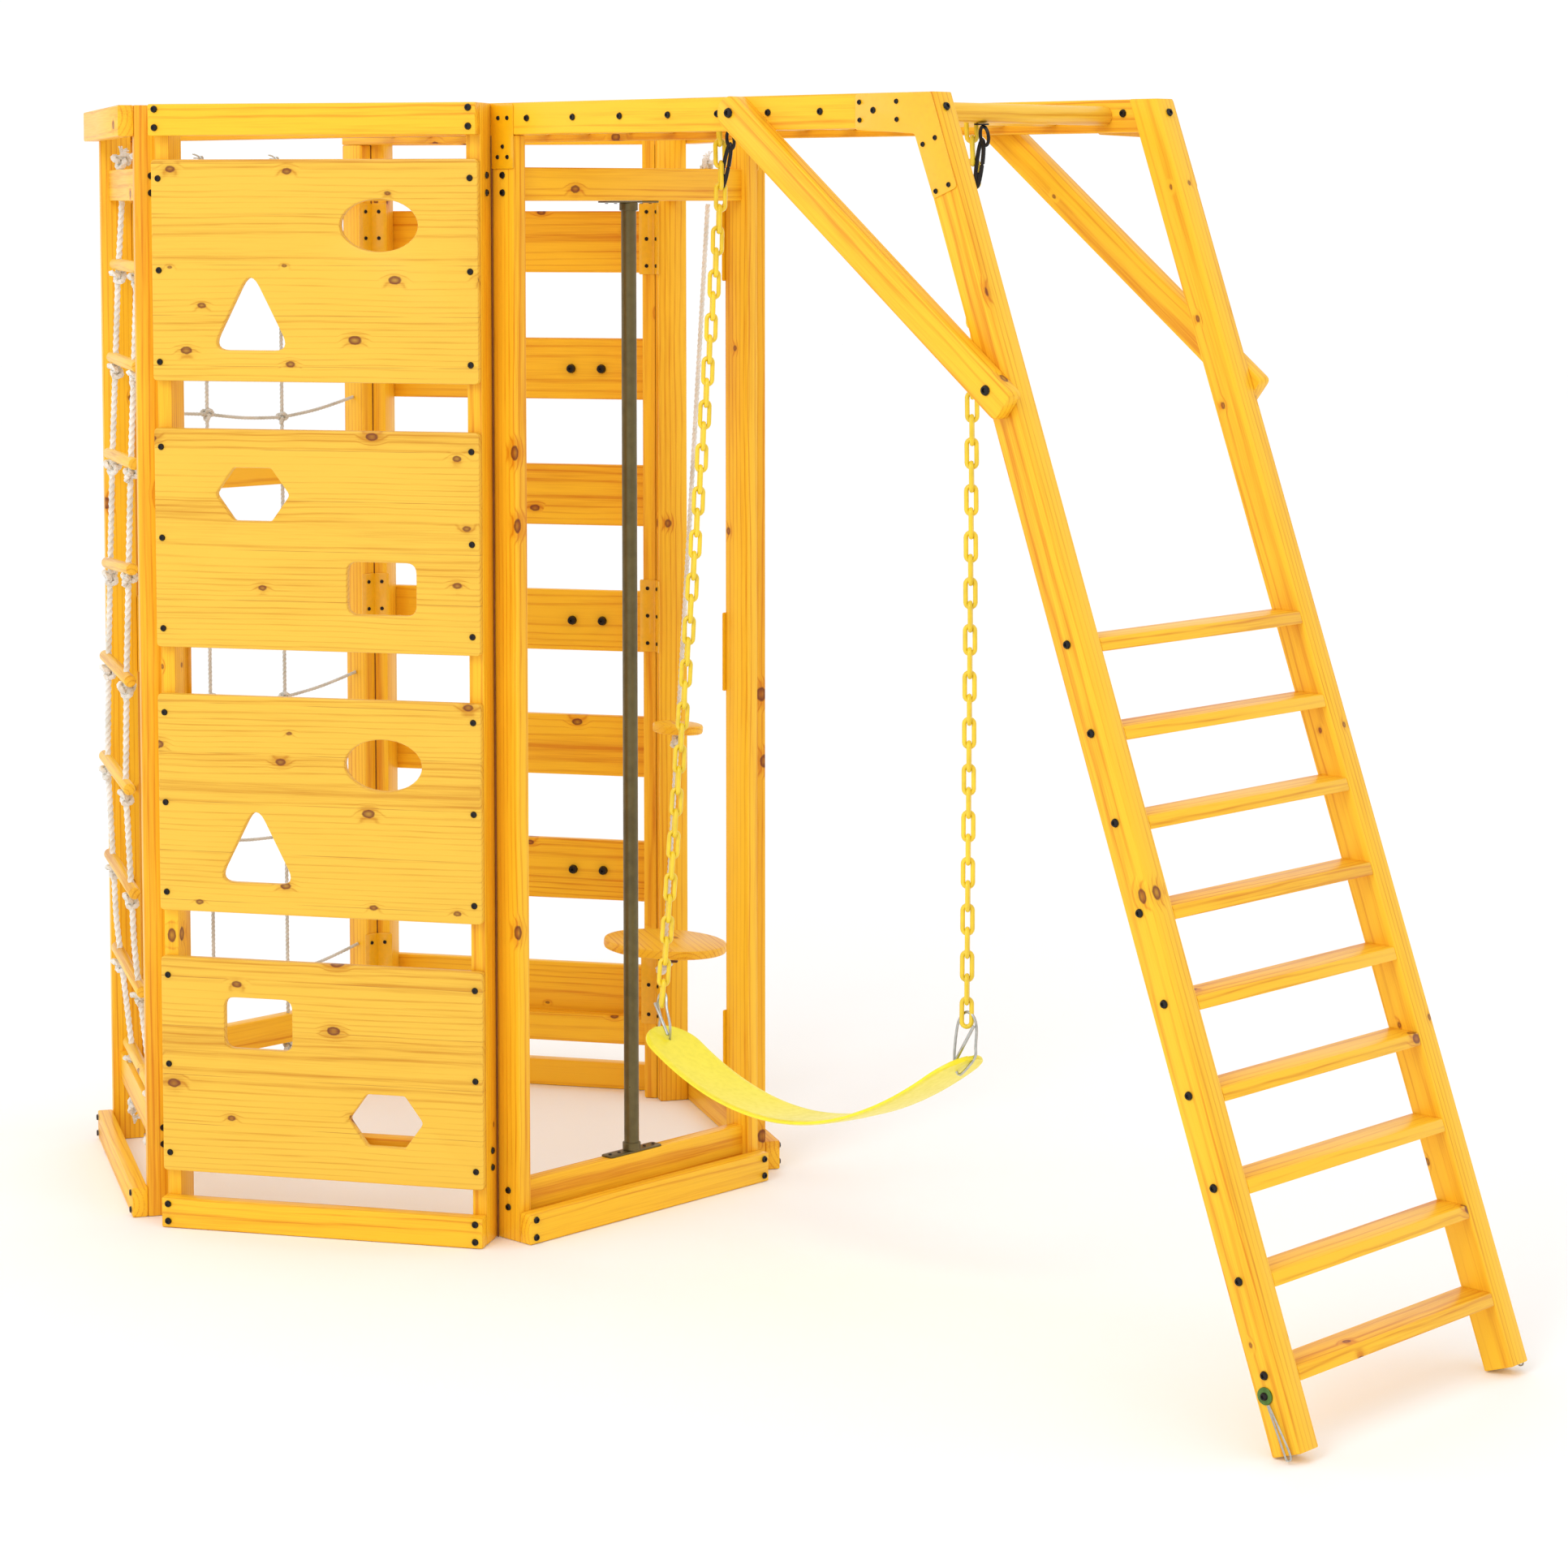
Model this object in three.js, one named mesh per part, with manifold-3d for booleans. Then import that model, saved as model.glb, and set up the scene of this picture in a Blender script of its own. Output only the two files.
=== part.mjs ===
// Wooden climbing set: a six-sided climbing tower with overhead monkey bars that run out of it to a
// leaning ladder, a belt swing under the bars and a disc swing in one side of the tower.
// Millimetres, +Z up. +X runs along the monkey bars from the tower to the ladder. The floor is Z = 0
// and the origin is under the middle of the whole set. Everything below is placed from the tower's
// centre line, and the group is moved by ORIGIN_X at the end.
import * as THREE from 'three';
import { mergeVertices } from 'three/addons/utils/BufferGeometryUtils.js';
import Module from 'manifold-3d';

const wasm = await Module();
wasm.setup();

// ---------------------------------------------------------------- driving dimensions
const SIDE = 600; // width of one side frame, and the side of the hexagon at the frames' inner faces
const HEIGHT = 1990;
const GAP = 0.3; // clearance kept between touching pieces

const POST = { wide: 27, deep: 58 };
const BOARD = { thick: 28, high: 55 };
const BASE_BOARD_HIGH = 54;
const RAIL = { thick: 28, high: 58, upperZ: 1822, lowerZ: 117, poleSideLowerZ: 44, wallLowerZ: 104 };
const MIDDLE_RAIL_Z = 1255; // the net side's third rail

const PANEL = { thick: 18, high: 386, pitch: 469, firstZ: 101, corner: 8 };
const CUT = { left: 183, right: 420, up: 79, down: 81, corner: 18 };
const OVAL = { wide: 142, high: 91 };
const SQUARE = { wide: 127, high: 92 };
const HEXAGON = { wide: 138, flat: 70, high: 93 };
const TRIANGLE = { wide: 122, high: 115 };

const PLANK = { count: 7, thick: 18, high: 124, pitch: 257, topZ: 1801 };
const HOLD = { wide: 110, high: 62, deep: 40, x: [439, 161] }; // a climbing hold on every plank

const BEAM = { thick: 28, high: 55 };
const RUNG = { radius: 16, count: 17, firstX: -419, pitch: 114.5, z: 1963 };

const LADDER = { lean: THREE.MathUtils.degToRad(20), topX: 1534, wide: 54, thick: 45 };
const STEP = { count: 9, firstZ: 118, pitch: 129.7, thick: 20 };
const BRACE = { upper: [1123, 1963], lower: [1669, 1536], wide: 54, thick: 28, beyond: 42, corner: 10 };

const POLE = { radius: 13.5, flangeLong: 130, flangeWide: 27, flangeThick: 3 };

const ROPE_LADDER = { middle: 280, rungLong: 430, rungRadius: 11, ropeRadius: 6, ropesApart: 310 };
// each rung's height, and how far its right end is above its left end
const ROPE_RUNGS = [
  [1702, 0],
  [1525, 0],
  [1346, 8],
  [1146, 28],
  [955, 4],
  [760, 0],
  [569, 0],
  [387, 0],
  [200, 0],
];
// the rope ladder's outward bow: height, and depth behind the side frame's inner face
const ROPE_LADDER_BOW = [
  [1820.8, 29],
  [1680, 38],
  [1320, 54],
  [950, 66],
  [750, 70],
  [450, 58],
  [176.3, 29],
];
const NET = { radius: 4, verticals: [213, 400], firstZ: 290, pitch: 283, rows: 5, sag: [34, 20] };

const SWING = { y: -48, pivotZ: 1926, lean: THREE.MathUtils.degToRad(-3.5), hooks: [840.5, 1413] };
const SEAT = { ends: [[768, 386], [1480, 448]], sag: 130, wide: 118, thick: 7, steps: 24, rounding: 44 };
const CHAIN = { radius: 9, aside: 16, topZ: 1916 };
const SNAP_HOOK = { high: 84, wide: 22, thick: 9, topZ: 1925 };

const DISC_SWING = { lean: THREE.MathUtils.degToRad(3.5), ropeRadius: 5, ropeTop: 6, ropeLong: 1500 };
const SMALL_DISC = { radius: 49, thick: 18, below: 1012 };
const LARGE_DISC = { radius: 120, thick: 18, below: 1436 };
const DISC_BLOCK = { long: 82, wide: 34, thick: 20 };

// ---------------------------------------------------------------- finishes
const finish = (colour, roughness, metalness = 0) =>
  new THREE.MeshStandardMaterial({ color: colour, roughness, metalness });
const pine = () => finish(0xf0b63c, 0.45);
const panelPine = () => finish(0xf5c45a, 0.45);
const dowel = () => finish(0xe8b24a, 0.45);
const bronze = () => finish(0x55482a, 0.35, 0.8);
const yellowChain = () => finish(0xf7cf2a, 0.4);
const yellowBelt = () => finish(0xf8ee1a, 0.35);
const blackSteel = () => finish(0x151515, 0.4, 0.7);
const whiteRope = () => finish(0xf2f0ea, 0.9);

// ---------------------------------------------------------------- solids and booleans
function toSolid(geometry) {
  const bare = new THREE.BufferGeometry();
  bare.setAttribute('position', geometry.getAttribute('position').clone());
  if (geometry.index) bare.setIndex(geometry.index.clone());
  const merged = mergeVertices(bare, 1e-4);
  return new wasm.Manifold(
    new wasm.Mesh({
      numProp: 3,
      vertProperties: new Float32Array(merged.getAttribute('position').array),
      triVerts: new Uint32Array(merged.index.array),
    }),
  );
}

function toGeometry(solid) {
  const mesh = solid.getMesh();
  const geometry = new THREE.BufferGeometry();
  geometry.setAttribute('position', new THREE.BufferAttribute(new Float32Array(mesh.vertProperties), 3));
  geometry.setIndex(new THREE.BufferAttribute(new Uint32Array(mesh.triVerts), 1));
  geometry.computeVertexNormals();
  return geometry;
}

function joined(geometries) {
  return toGeometry(geometries.map(toSolid).reduce((a, b) => a.add(b)));
}

function box(x, y, z) {
  const geometry = new THREE.BoxGeometry(x[1] - x[0], y[1] - y[0], z[1] - z[0]);
  return geometry.translate((x[0] + x[1]) / 2, (y[0] + y[1]) / 2, (z[0] + z[1]) / 2);
}

function rod(radius, from, to, sides = 12) {
  const start = new THREE.Vector3(...from);
  const along = new THREE.Vector3(...to).sub(start);
  const geometry = new THREE.CylinderGeometry(radius, radius, along.length(), sides);
  const turn = new THREE.Quaternion().setFromUnitVectors(
    new THREE.Vector3(0, 1, 0),
    along.clone().normalize(),
  );
  geometry.applyQuaternion(turn);
  return geometry.translate(...start.addScaledVector(along, 0.5).toArray());
}

// a rope of plain eight-sided section along hand-placed points
function ropeTube(radius, points, steps) {
  const curve = new THREE.CatmullRomCurve3(points.map((p) => new THREE.Vector3(...p)));
  const section = new THREE.Shape();
  for (let i = 0; i < 8; i += 1) {
    const angle = (i / 8) * 2 * Math.PI;
    const corner = [radius * Math.cos(angle), radius * Math.sin(angle)];
    if (i === 0) section.moveTo(...corner);
    else section.lineTo(...corner);
  }
  return new THREE.ExtrudeGeometry(section, { steps, extrudePath: curve, bevelEnabled: false });
}

// an outline in X and Z, extruded along Y between the two given places
function plateXZ(outline, y) {
  const shape = new THREE.Shape(outline.map(([x, z]) => new THREE.Vector2(x, z)));
  const geometry = new THREE.ExtrudeGeometry(shape, { depth: y[1] - y[0], bevelEnabled: false });
  geometry.rotateX(Math.PI / 2); // the outline's second axis becomes Z, the depth runs to -Y
  return geometry.translate(0, y[1], 0);
}

const model = new THREE.Group();

function add(name, geometry, material, parent = model) {
  const mesh = new THREE.Mesh(geometry, material);
  mesh.name = name;
  parent.add(mesh);
}

// ---------------------------------------------------------------- the tower's six side frames
// Side n's group has its origin at the frame's inner left corner on the floor, seen from outside:
// X runs along the side, Y points into the tower and the posts stand at Y from -POST.deep to 0.
function sideGroup(number) {
  const group = new THREE.Group();
  const angle = THREE.MathUtils.degToRad(60 * (number - 1) - 90);
  group.position.set(SIDE * Math.cos(angle), SIDE * Math.sin(angle), 0);
  group.rotation.z = THREE.MathUtils.degToRad(30 + 60 * (number - 1));
  model.add(group);
  return group;
}

const span = [GAP, SIDE - GAP];
const postDepth = [-POST.deep, 0];
const midDepth = -POST.deep / 2;
const railDepth = [midDepth - RAIL.thick / 2, midDepth + RAIL.thick / 2];
const boardDepth = [-POST.deep - BOARD.thick, -POST.deep];

function sideFrame({ postTop, railZ, topBoard }) {
  const betweenPosts = [POST.wide - 1, SIDE - POST.wide + 1];
  const pieces = [
    box([GAP, POST.wide], postDepth, [0, postTop]),
    box([SIDE - POST.wide, SIDE - GAP], postDepth, [0, postTop]),
    box(span, boardDepth, [0, BASE_BOARD_HIGH]),
  ];
  for (const z of railZ) pieces.push(box(betweenPosts, railDepth, [z, z + RAIL.high]));
  if (topBoard) pieces.push(box(span, boardDepth, [HEIGHT - BOARD.high, HEIGHT]));
  return joined(pieces);
}

// the net's upright ropes run through holes in the middle rail
function netSideFrame(kind) {
  const bores = NET.verticals.map((x) =>
    rod(NET.radius + 1, [x, midDepth, MIDDLE_RAIL_Z - 5], [x, midDepth, MIDDLE_RAIL_Z + RAIL.high + 5], 8),
  );
  return toGeometry(bores.map(toSolid).reduce((frame, bore) => frame.subtract(bore), toSolid(sideFrame(kind))));
}

const underBeam = HEIGHT - BEAM.high - GAP;
const tall = { postTop: HEIGHT, topBoard: true };
const twoRails = [RAIL.upperZ, RAIL.lowerZ];
const frames = [
  ['panel_side_frame', sideFrame({ ...tall, railZ: twoRails })],
  ['pole_side_frame', sideFrame({ postTop: underBeam, railZ: [RAIL.upperZ, RAIL.poleSideLowerZ] })],
  ['open_side_frame', sideFrame({ ...tall, railZ: [RAIL.upperZ] })],
  ['plank_side_frame', sideFrame({ ...tall, railZ: [RAIL.upperZ, RAIL.wallLowerZ] })],
  ['net_side_frame', netSideFrame({ postTop: underBeam, railZ: [...twoRails, MIDDLE_RAIL_Z] })],
  ['rope_ladder_side_frame', sideFrame({ ...tall, railZ: twoRails })],
];
const sides = frames.map(([name, geometry], index) => {
  const group = sideGroup(index + 1);
  add(name, geometry, pine(), group);
  return group;
});
const [panelSide, poleSide, openSide, plankSide, netSide, ropeLadderSide] = sides;

// ---------------------------------------------------------------- climbing panels with cut-outs
// Rounds every corner of a polygon and returns it as a path of straights and short arcs.
function roundedPath(corners, radius) {
  const path = new THREE.Path();
  corners.forEach(([x, y], i) => {
    const before = new THREE.Vector2(...corners[(i + corners.length - 1) % corners.length]);
    const after = new THREE.Vector2(...corners[(i + 1) % corners.length]);
    const corner = new THREE.Vector2(x, y);
    const toBefore = before.sub(corner).normalize();
    const toAfter = after.sub(corner).normalize();
    const half = Math.acos(THREE.MathUtils.clamp(toBefore.dot(toAfter), -1, 1)) / 2;
    const reach = radius / Math.tan(half);
    const start = corner.clone().addScaledVector(toBefore, reach);
    const end = corner.clone().addScaledVector(toAfter, reach);
    if (i === 0) path.moveTo(start.x, start.y);
    else path.lineTo(start.x, start.y);
    path.quadraticCurveTo(corner.x, corner.y, end.x, end.y);
  });
  path.closePath();
  return path;
}

const rectangle = (w, h) => [[-w / 2, -h / 2], [w / 2, -h / 2], [w / 2, h / 2], [-w / 2, h / 2]];
const shifted = (points, x, y) => points.map(([px, py]) => [px + x, py + y]);

const cutOutlines = {
  oval: (x, y) => new THREE.Path().absellipse(x, y, OVAL.wide / 2, OVAL.high / 2, 0, 2 * Math.PI, true),
  square: (x, y) => roundedPath(shifted(rectangle(SQUARE.wide, SQUARE.high), x, y).reverse(), CUT.corner),
  triangle: (x, y) => {
    const half = TRIANGLE.wide / 2 + 12; // the sharp corners lie outside the rounded ones
    const corners = [[-half, -TRIANGLE.high / 2], [half, -TRIANGLE.high / 2], [0, TRIANGLE.high / 2 + 28]];
    return roundedPath(shifted(corners, x, y).reverse(), CUT.corner);
  },
  hexagon: (x, y) => {
    const halfWide = HEXAGON.wide / 2;
    const flat = HEXAGON.flat / 2;
    const h = HEXAGON.high / 2;
    const corners = [[-halfWide, 0], [-flat, -h], [flat, -h], [halfWide, 0], [flat, h], [-flat, h]];
    return roundedPath(shifted(corners, x, y).reverse(), CUT.corner / 2);
  },
};

function panel(upper, lower) {
  const outline = roundedPath(shifted(rectangle(SIDE - 2 * GAP, PANEL.high), SIDE / 2, 0), PANEL.corner);
  const shape = new THREE.Shape(outline.getPoints(3));
  const cuts = [cutOutlines[upper.kind](upper.x, CUT.up), cutOutlines[lower.kind](lower.x, -CUT.down)];
  shape.holes = cuts.map((path) => new THREE.Path(path.getPoints(4)));
  const geometry = new THREE.ExtrudeGeometry(shape, { depth: PANEL.thick, bevelEnabled: false });
  geometry.rotateX(Math.PI / 2);
  return geometry.translate(0, -POST.deep - GAP, 0);
}

const panelCuts = [
  [{ kind: 'square', x: CUT.left }, { kind: 'hexagon', x: CUT.right }],
  [{ kind: 'oval', x: CUT.right }, { kind: 'triangle', x: CUT.left }],
  [{ kind: 'hexagon', x: CUT.left }, { kind: 'square', x: CUT.right }],
  [{ kind: 'oval', x: CUT.right }, { kind: 'triangle', x: CUT.left }],
];
panelCuts.forEach((cuts, index) => {
  const middleZ = PANEL.firstZ + PANEL.high / 2 + index * PANEL.pitch;
  add(`climbing_panel_${index + 1}`, panel(...cuts).translate(0, 0, middleZ), panelPine(), panelSide);
});

// ---------------------------------------------------------------- the plank wall
const plankFace = -POST.deep - GAP - PLANK.thick;

function climbingHold(x, z) {
  const geometry = new THREE.SphereGeometry(1, 12, 8);
  geometry.scale(HOLD.wide / 2, HOLD.deep, HOLD.high / 2);
  const whole = toSolid(geometry.translate(x, plankFace, z));
  const hidden = toSolid(box([x - 100, x + 100], [plankFace + 5, plankFace + 100], [z - 100, z + 100]));
  return toGeometry(whole.subtract(hidden));
}

for (let i = 0; i < PLANK.count; i += 1) {
  const top = PLANK.topZ - i * PLANK.pitch;
  const plank = box(span, [plankFace, -POST.deep - GAP], [top - PLANK.high, top]);
  const hold = climbingHold(HOLD.x[i % 2], top - PLANK.high / 2);
  add(`wall_plank_${i + 1}`, joined([plank, hold]), pine(), plankSide);
}

// ---------------------------------------------------------------- overhead beams and rungs
const tanLean = Math.tan(LADDER.lean);
const frontX = (z) => LADDER.topX + (HEIGHT - z) * tanLean; // the ladder rails' front edge
const backX = (z) => frontX(z) - LADDER.wide / Math.cos(LADDER.lean);
const nearY = -SIDE / 2; // outer faces of the near beam and the near ladder rail
const farY = SIDE / 2;
const towerBackX = -SIDE * Math.cos(Math.PI / 6) - POST.deep;

const beamOutline = [
  [towerBackX, HEIGHT - BEAM.high],
  [backX(HEIGHT - BEAM.high) - GAP, HEIGHT - BEAM.high],
  [backX(HEIGHT) - GAP, HEIGHT],
  [towerBackX, HEIGHT],
];
add('beam_near', plateXZ(beamOutline, [nearY, nearY + BEAM.thick]), pine());
add('beam_far', plateXZ(beamOutline, [farY - BEAM.thick, farY]), pine());

for (let i = 0; i < RUNG.count; i += 1) {
  const x = RUNG.firstX + i * RUNG.pitch;
  const ends = [nearY + BEAM.thick + GAP, farY - BEAM.thick - GAP].map((y) => [x, y, RUNG.z]);
  add(`monkey_rung_${i + 1}`, rod(RUNG.radius, ...ends), dowel());
}

// ---------------------------------------------------------------- the leaning ladder
const footX = backX(0);
const ladderOutline = [
  [footX, 0],
  [footX + LADDER.wide * Math.cos(LADDER.lean), LADDER.wide * Math.sin(LADDER.lean)],
  [frontX(HEIGHT), HEIGHT],
  [backX(HEIGHT), HEIGHT],
];
add('ladder_rail_near', plateXZ(ladderOutline, [nearY, nearY + LADDER.thick]), pine());
add('ladder_rail_far', plateXZ(ladderOutline, [farY - LADDER.thick, farY]), pine());

for (let i = 0; i < STEP.count; i += 1) {
  const low = STEP.firstZ + i * STEP.pitch - STEP.thick / 2;
  const high = low + STEP.thick;
  const outline = [[backX(low), low], [frontX(low), low], [frontX(high), high], [backX(high), high]];
  const between = [nearY + LADDER.thick + GAP, farY - LADDER.thick - GAP];
  add(`ladder_step_${i + 1}`, plateXZ(outline, between), pine());
}

// ---------------------------------------------------------------- braces from beam to ladder
function braceOutline() {
  const upper = new THREE.Vector2(...BRACE.upper);
  const lower = new THREE.Vector2(...BRACE.lower);
  const down = lower.clone().sub(upper).normalize();
  const across = new THREE.Vector2(-down.y, down.x).multiplyScalar(BRACE.wide / 2);
  const points = [];
  const roundSteps = 8;
  for (let i = 0; i <= roundSteps; i += 1) {
    const turn = (i / roundSteps) * Math.PI;
    const spoke = across.clone().rotateAround(new THREE.Vector2(), turn);
    points.push(upper.clone().add(spoke).toArray());
  }
  const end = lower.clone().addScaledVector(down, BRACE.beyond);
  const shoulder = end.clone().addScaledVector(down, -BRACE.corner);
  const inset = across.clone().setLength(BRACE.wide / 2 - BRACE.corner);
  points.push(shoulder.clone().sub(across).toArray());
  points.push(end.clone().sub(inset).toArray());
  points.push(end.clone().add(inset).toArray());
  points.push(shoulder.clone().add(across).toArray());
  return points;
}
add('brace_near', plateXZ(braceOutline(), [nearY - GAP - BRACE.thick, nearY - GAP]), pine());
add('brace_far', plateXZ(braceOutline(), [farY + GAP, farY + GAP + BRACE.thick]), pine());

// ---------------------------------------------------------------- the fireman's pole
function polePieces() {
  const low = RAIL.poleSideLowerZ + RAIL.high + GAP;
  const high = RAIL.upperZ - GAP;
  const middle = SIDE / 2;
  const along = [middle - POLE.flangeLong / 2, middle + POLE.flangeLong / 2];
  const across = [midDepth - POLE.flangeWide / 2, midDepth + POLE.flangeWide / 2];
  return [
    rod(POLE.radius, [middle, midDepth, low + 1], [middle, midDepth, high - 1], 16),
    box(along, across, [low, low + POLE.flangeThick]),
    box(along, across, [high - POLE.flangeThick, high]),
  ];
}
add('fireman_pole', joined(polePieces()), bronze(), poleSide);

// ---------------------------------------------------------------- the rope ladder
// It hangs between the side's two rails and bows out of the tower.
const railTop = RAIL.lowerZ + RAIL.high + GAP;
const railUnderside = RAIL.upperZ - GAP;

function bowAt(z) {
  const next = ROPE_LADDER_BOW.findIndex(([height], i) => i > 0 && height <= z);
  const [[highZ, highDepth], [lowZ, lowDepth]] = ROPE_LADDER_BOW.slice(next - 1, next + 1);
  return -THREE.MathUtils.mapLinear(z, highZ, lowZ, highDepth, lowDepth);
}

function ropeLadder() {
  const { middle, rungLong, rungRadius, ropeRadius, ropesApart } = ROPE_LADDER;
  const ropes = [-0.5, 0.5].map((hand) => {
    const x = middle + hand * ropesApart;
    const points = ROPE_LADDER_BOW.map(([z, depth]) => [x, -depth, z]);
    return ropeTube(ropeRadius, points, 18);
  });
  const rungs = ROPE_RUNGS.map(([z, tilt]) => {
    const ends = [-0.5, 0.5].map((hand) => [middle + hand * rungLong, bowAt(z), z + hand * tilt]);
    return rod(rungRadius, ...ends);
  });
  return joined([...ropes, ...rungs]);
}
add('rope_ladder', ropeLadder(), dowel(), ropeLadderSide);

// ---------------------------------------------------------------- the climbing net
function climbingNet() {
  const inner = [POST.wide + 1.2, SIDE - POST.wide - 1.2];
  const pieces = NET.verticals.map((x) =>
    rod(NET.radius, [x, midDepth, railTop], [x, midDepth, railUnderside], 8),
  );
  for (let row = 0; row < NET.rows; row += 1) {
    const z = NET.firstZ + row * NET.pitch;
    const points = [
      [inner[0], midDepth, z],
      [NET.verticals[0], midDepth, z - NET.sag[0]],
      [NET.verticals[1], midDepth, z - NET.sag[1]],
      [inner[1], midDepth, z],
    ];
    for (let i = 0; i < 3; i += 1) {
      const past = new THREE.Vector3(...points[i + 1]).sub(new THREE.Vector3(...points[i])).setLength(3);
      const end = new THREE.Vector3(...points[i + 1]).add(i < 2 ? past : new THREE.Vector3());
      pieces.push(rod(NET.radius, points[i], end.toArray(), 8));
    }
  }
  return joined(pieces);
}
add('climbing_net', climbingNet(), whiteRope(), netSide);

// ---------------------------------------------------------------- the belt swing
// The group turns about the line where the snap hooks hang below two rungs, and leans with the swing.
const beltSwing = new THREE.Group();
beltSwing.position.set(0, SWING.y, SWING.pivotZ);
beltSwing.rotation.x = SWING.lean;
model.add(beltSwing);
const fromPivot = (z) => z - SWING.pivotZ;

function beltSeat() {
  const [left, right] = SEAT.ends;
  const upper = [];
  for (let i = 0; i <= SEAT.steps; i += 1) {
    const part = i / SEAT.steps;
    const x = left[0] + (right[0] - left[0]) * part;
    const chordZ = left[1] + (right[1] - left[1]) * part;
    upper.push([x, fromPivot(chordZ - SEAT.sag * 4 * part * (1 - part))]);
  }
  const lower = upper.map(([x, z]) => [x, z - SEAT.thick]);
  const half = SEAT.wide / 2;
  const strip = plateXZ([...lower, ...upper.reverse()], [-half, half]);
  // seen from above, both ends are rounded
  const plan = [];
  for (let i = 0; i < 32; i += 1) {
    const angle = ((i + 0.5) / 32) * 2 * Math.PI - Math.PI / 2;
    const [middle, way] = i < 16 ? [right[0] - SEAT.rounding, 1] : [left[0] + SEAT.rounding, -1];
    plan.push(new THREE.Vector2(middle + way * SEAT.rounding * Math.abs(Math.cos(angle)), half * Math.sin(angle)));
  }
  const depth = { depth: 400, bevelEnabled: false };
  const around = new THREE.ExtrudeGeometry(new THREE.Shape(plan), depth).translate(0, 0, fromPivot(200));
  return toGeometry(toSolid(strip).intersect(toSolid(around)));
}

['left', 'right'].forEach((hand, index) => {
  const hookX = SWING.hooks[index];
  const [endX, endZ] = SEAT.ends[index];
  const top = [hookX - CHAIN.aside, 0, fromPivot(CHAIN.topZ)];
  const bottom = [endX + [10, -10][index], 0, fromPivot(endZ + 8)];
  add(`swing_chain_${hand}`, rod(CHAIN.radius, top, bottom, 8), yellowChain(), beltSwing);
  const low = fromPivot(SNAP_HOOK.topZ - SNAP_HOOK.high);
  const hook = box(
    [hookX, hookX + SNAP_HOOK.wide],
    [-SNAP_HOOK.thick / 2, SNAP_HOOK.thick / 2],
    [low, fromPivot(SNAP_HOOK.topZ)],
  );
  add(`snap_hook_${hand}`, hook, blackSteel(), beltSwing);
});
add('belt_seat', beltSeat(), yellowBelt(), beltSwing);

// ---------------------------------------------------------------- the disc swing
// It hangs from the middle of the open side's upper rail and leans into the tower.
const discSwing = new THREE.Group();
discSwing.position.set(SIDE / 2, midDepth, railUnderside);
discSwing.rotation.x = DISC_SWING.lean;
openSide.add(discSwing);

function disc({ radius, thick, below }) {
  const shape = new THREE.Shape().absarc(0, 0, radius, 0, 2 * Math.PI);
  shape.holes.push(new THREE.Path().absarc(0, 0, DISC_SWING.ropeRadius + 1, 0, 2 * Math.PI, true));
  const geometry = new THREE.ExtrudeGeometry(shape, { depth: thick, curveSegments: 16, bevelEnabled: false });
  return geometry.translate(0, 0, -below - thick);
}

function largeDisc() {
  const under = -LARGE_DISC.below - LARGE_DISC.thick;
  const half = [DISC_BLOCK.long / 2, DISC_BLOCK.wide / 2];
  const block = box([-half[0], half[0]], [-half[1], half[1]], [under - DISC_BLOCK.thick, under + 1]);
  const bore = rod(DISC_SWING.ropeRadius + 1, [0, 0, under - 40], [0, 0, under + 40], 16);
  return toGeometry(toSolid(disc(LARGE_DISC)).add(toSolid(block)).subtract(toSolid(bore)));
}

const ropeEnds = [[0, 0, -DISC_SWING.ropeTop], [0, 0, -DISC_SWING.ropeLong]];
add('disc_rope', rod(DISC_SWING.ropeRadius, ...ropeEnds, 8), whiteRope(), discSwing);
add('small_disc', disc(SMALL_DISC), pine(), discSwing);
add('large_disc', largeDisc(), pine(), discSwing);

const ORIGIN_X = (towerBackX - BOARD.thick + footX + LADDER.wide * Math.cos(LADDER.lean)) / 2;
model.position.x = -ORIGIN_X;

export default model;
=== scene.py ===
"""Looks for the wooden climbing set: varnished pine, ropes, chains, fittings, floor and light.

Shapes are worked out in millimetres from the tower's centre line on the floor, with +X along the
monkey bars towards the leaning ladder and +Z up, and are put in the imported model's frame, in
metres, when a piece is finished.
"""

import random
from math import atan2, cos, pi, radians, sin, sqrt, tan

import bpy
import numpy as np
from mathutils import Matrix, Vector
from mathutils.geometry import tessellate_polygon


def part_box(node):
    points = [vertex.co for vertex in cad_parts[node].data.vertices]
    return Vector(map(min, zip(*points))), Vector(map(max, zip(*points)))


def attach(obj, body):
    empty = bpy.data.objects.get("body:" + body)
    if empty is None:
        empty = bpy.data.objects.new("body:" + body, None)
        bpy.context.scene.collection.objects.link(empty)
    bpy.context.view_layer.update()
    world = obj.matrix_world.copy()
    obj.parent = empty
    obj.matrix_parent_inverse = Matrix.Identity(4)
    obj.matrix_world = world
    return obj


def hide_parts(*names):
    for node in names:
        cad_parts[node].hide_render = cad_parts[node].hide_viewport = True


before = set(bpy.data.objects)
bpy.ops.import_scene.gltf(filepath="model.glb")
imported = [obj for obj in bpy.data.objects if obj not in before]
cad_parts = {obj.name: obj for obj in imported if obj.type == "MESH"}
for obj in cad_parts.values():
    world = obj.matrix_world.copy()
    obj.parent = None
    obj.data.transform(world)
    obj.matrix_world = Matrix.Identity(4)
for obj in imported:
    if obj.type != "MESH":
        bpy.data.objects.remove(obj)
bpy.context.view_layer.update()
TOWER_X = (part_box("net_side_frame")[0][0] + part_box("pole_side_frame")[1][0]) / 2
chance = random.Random(11)

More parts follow.
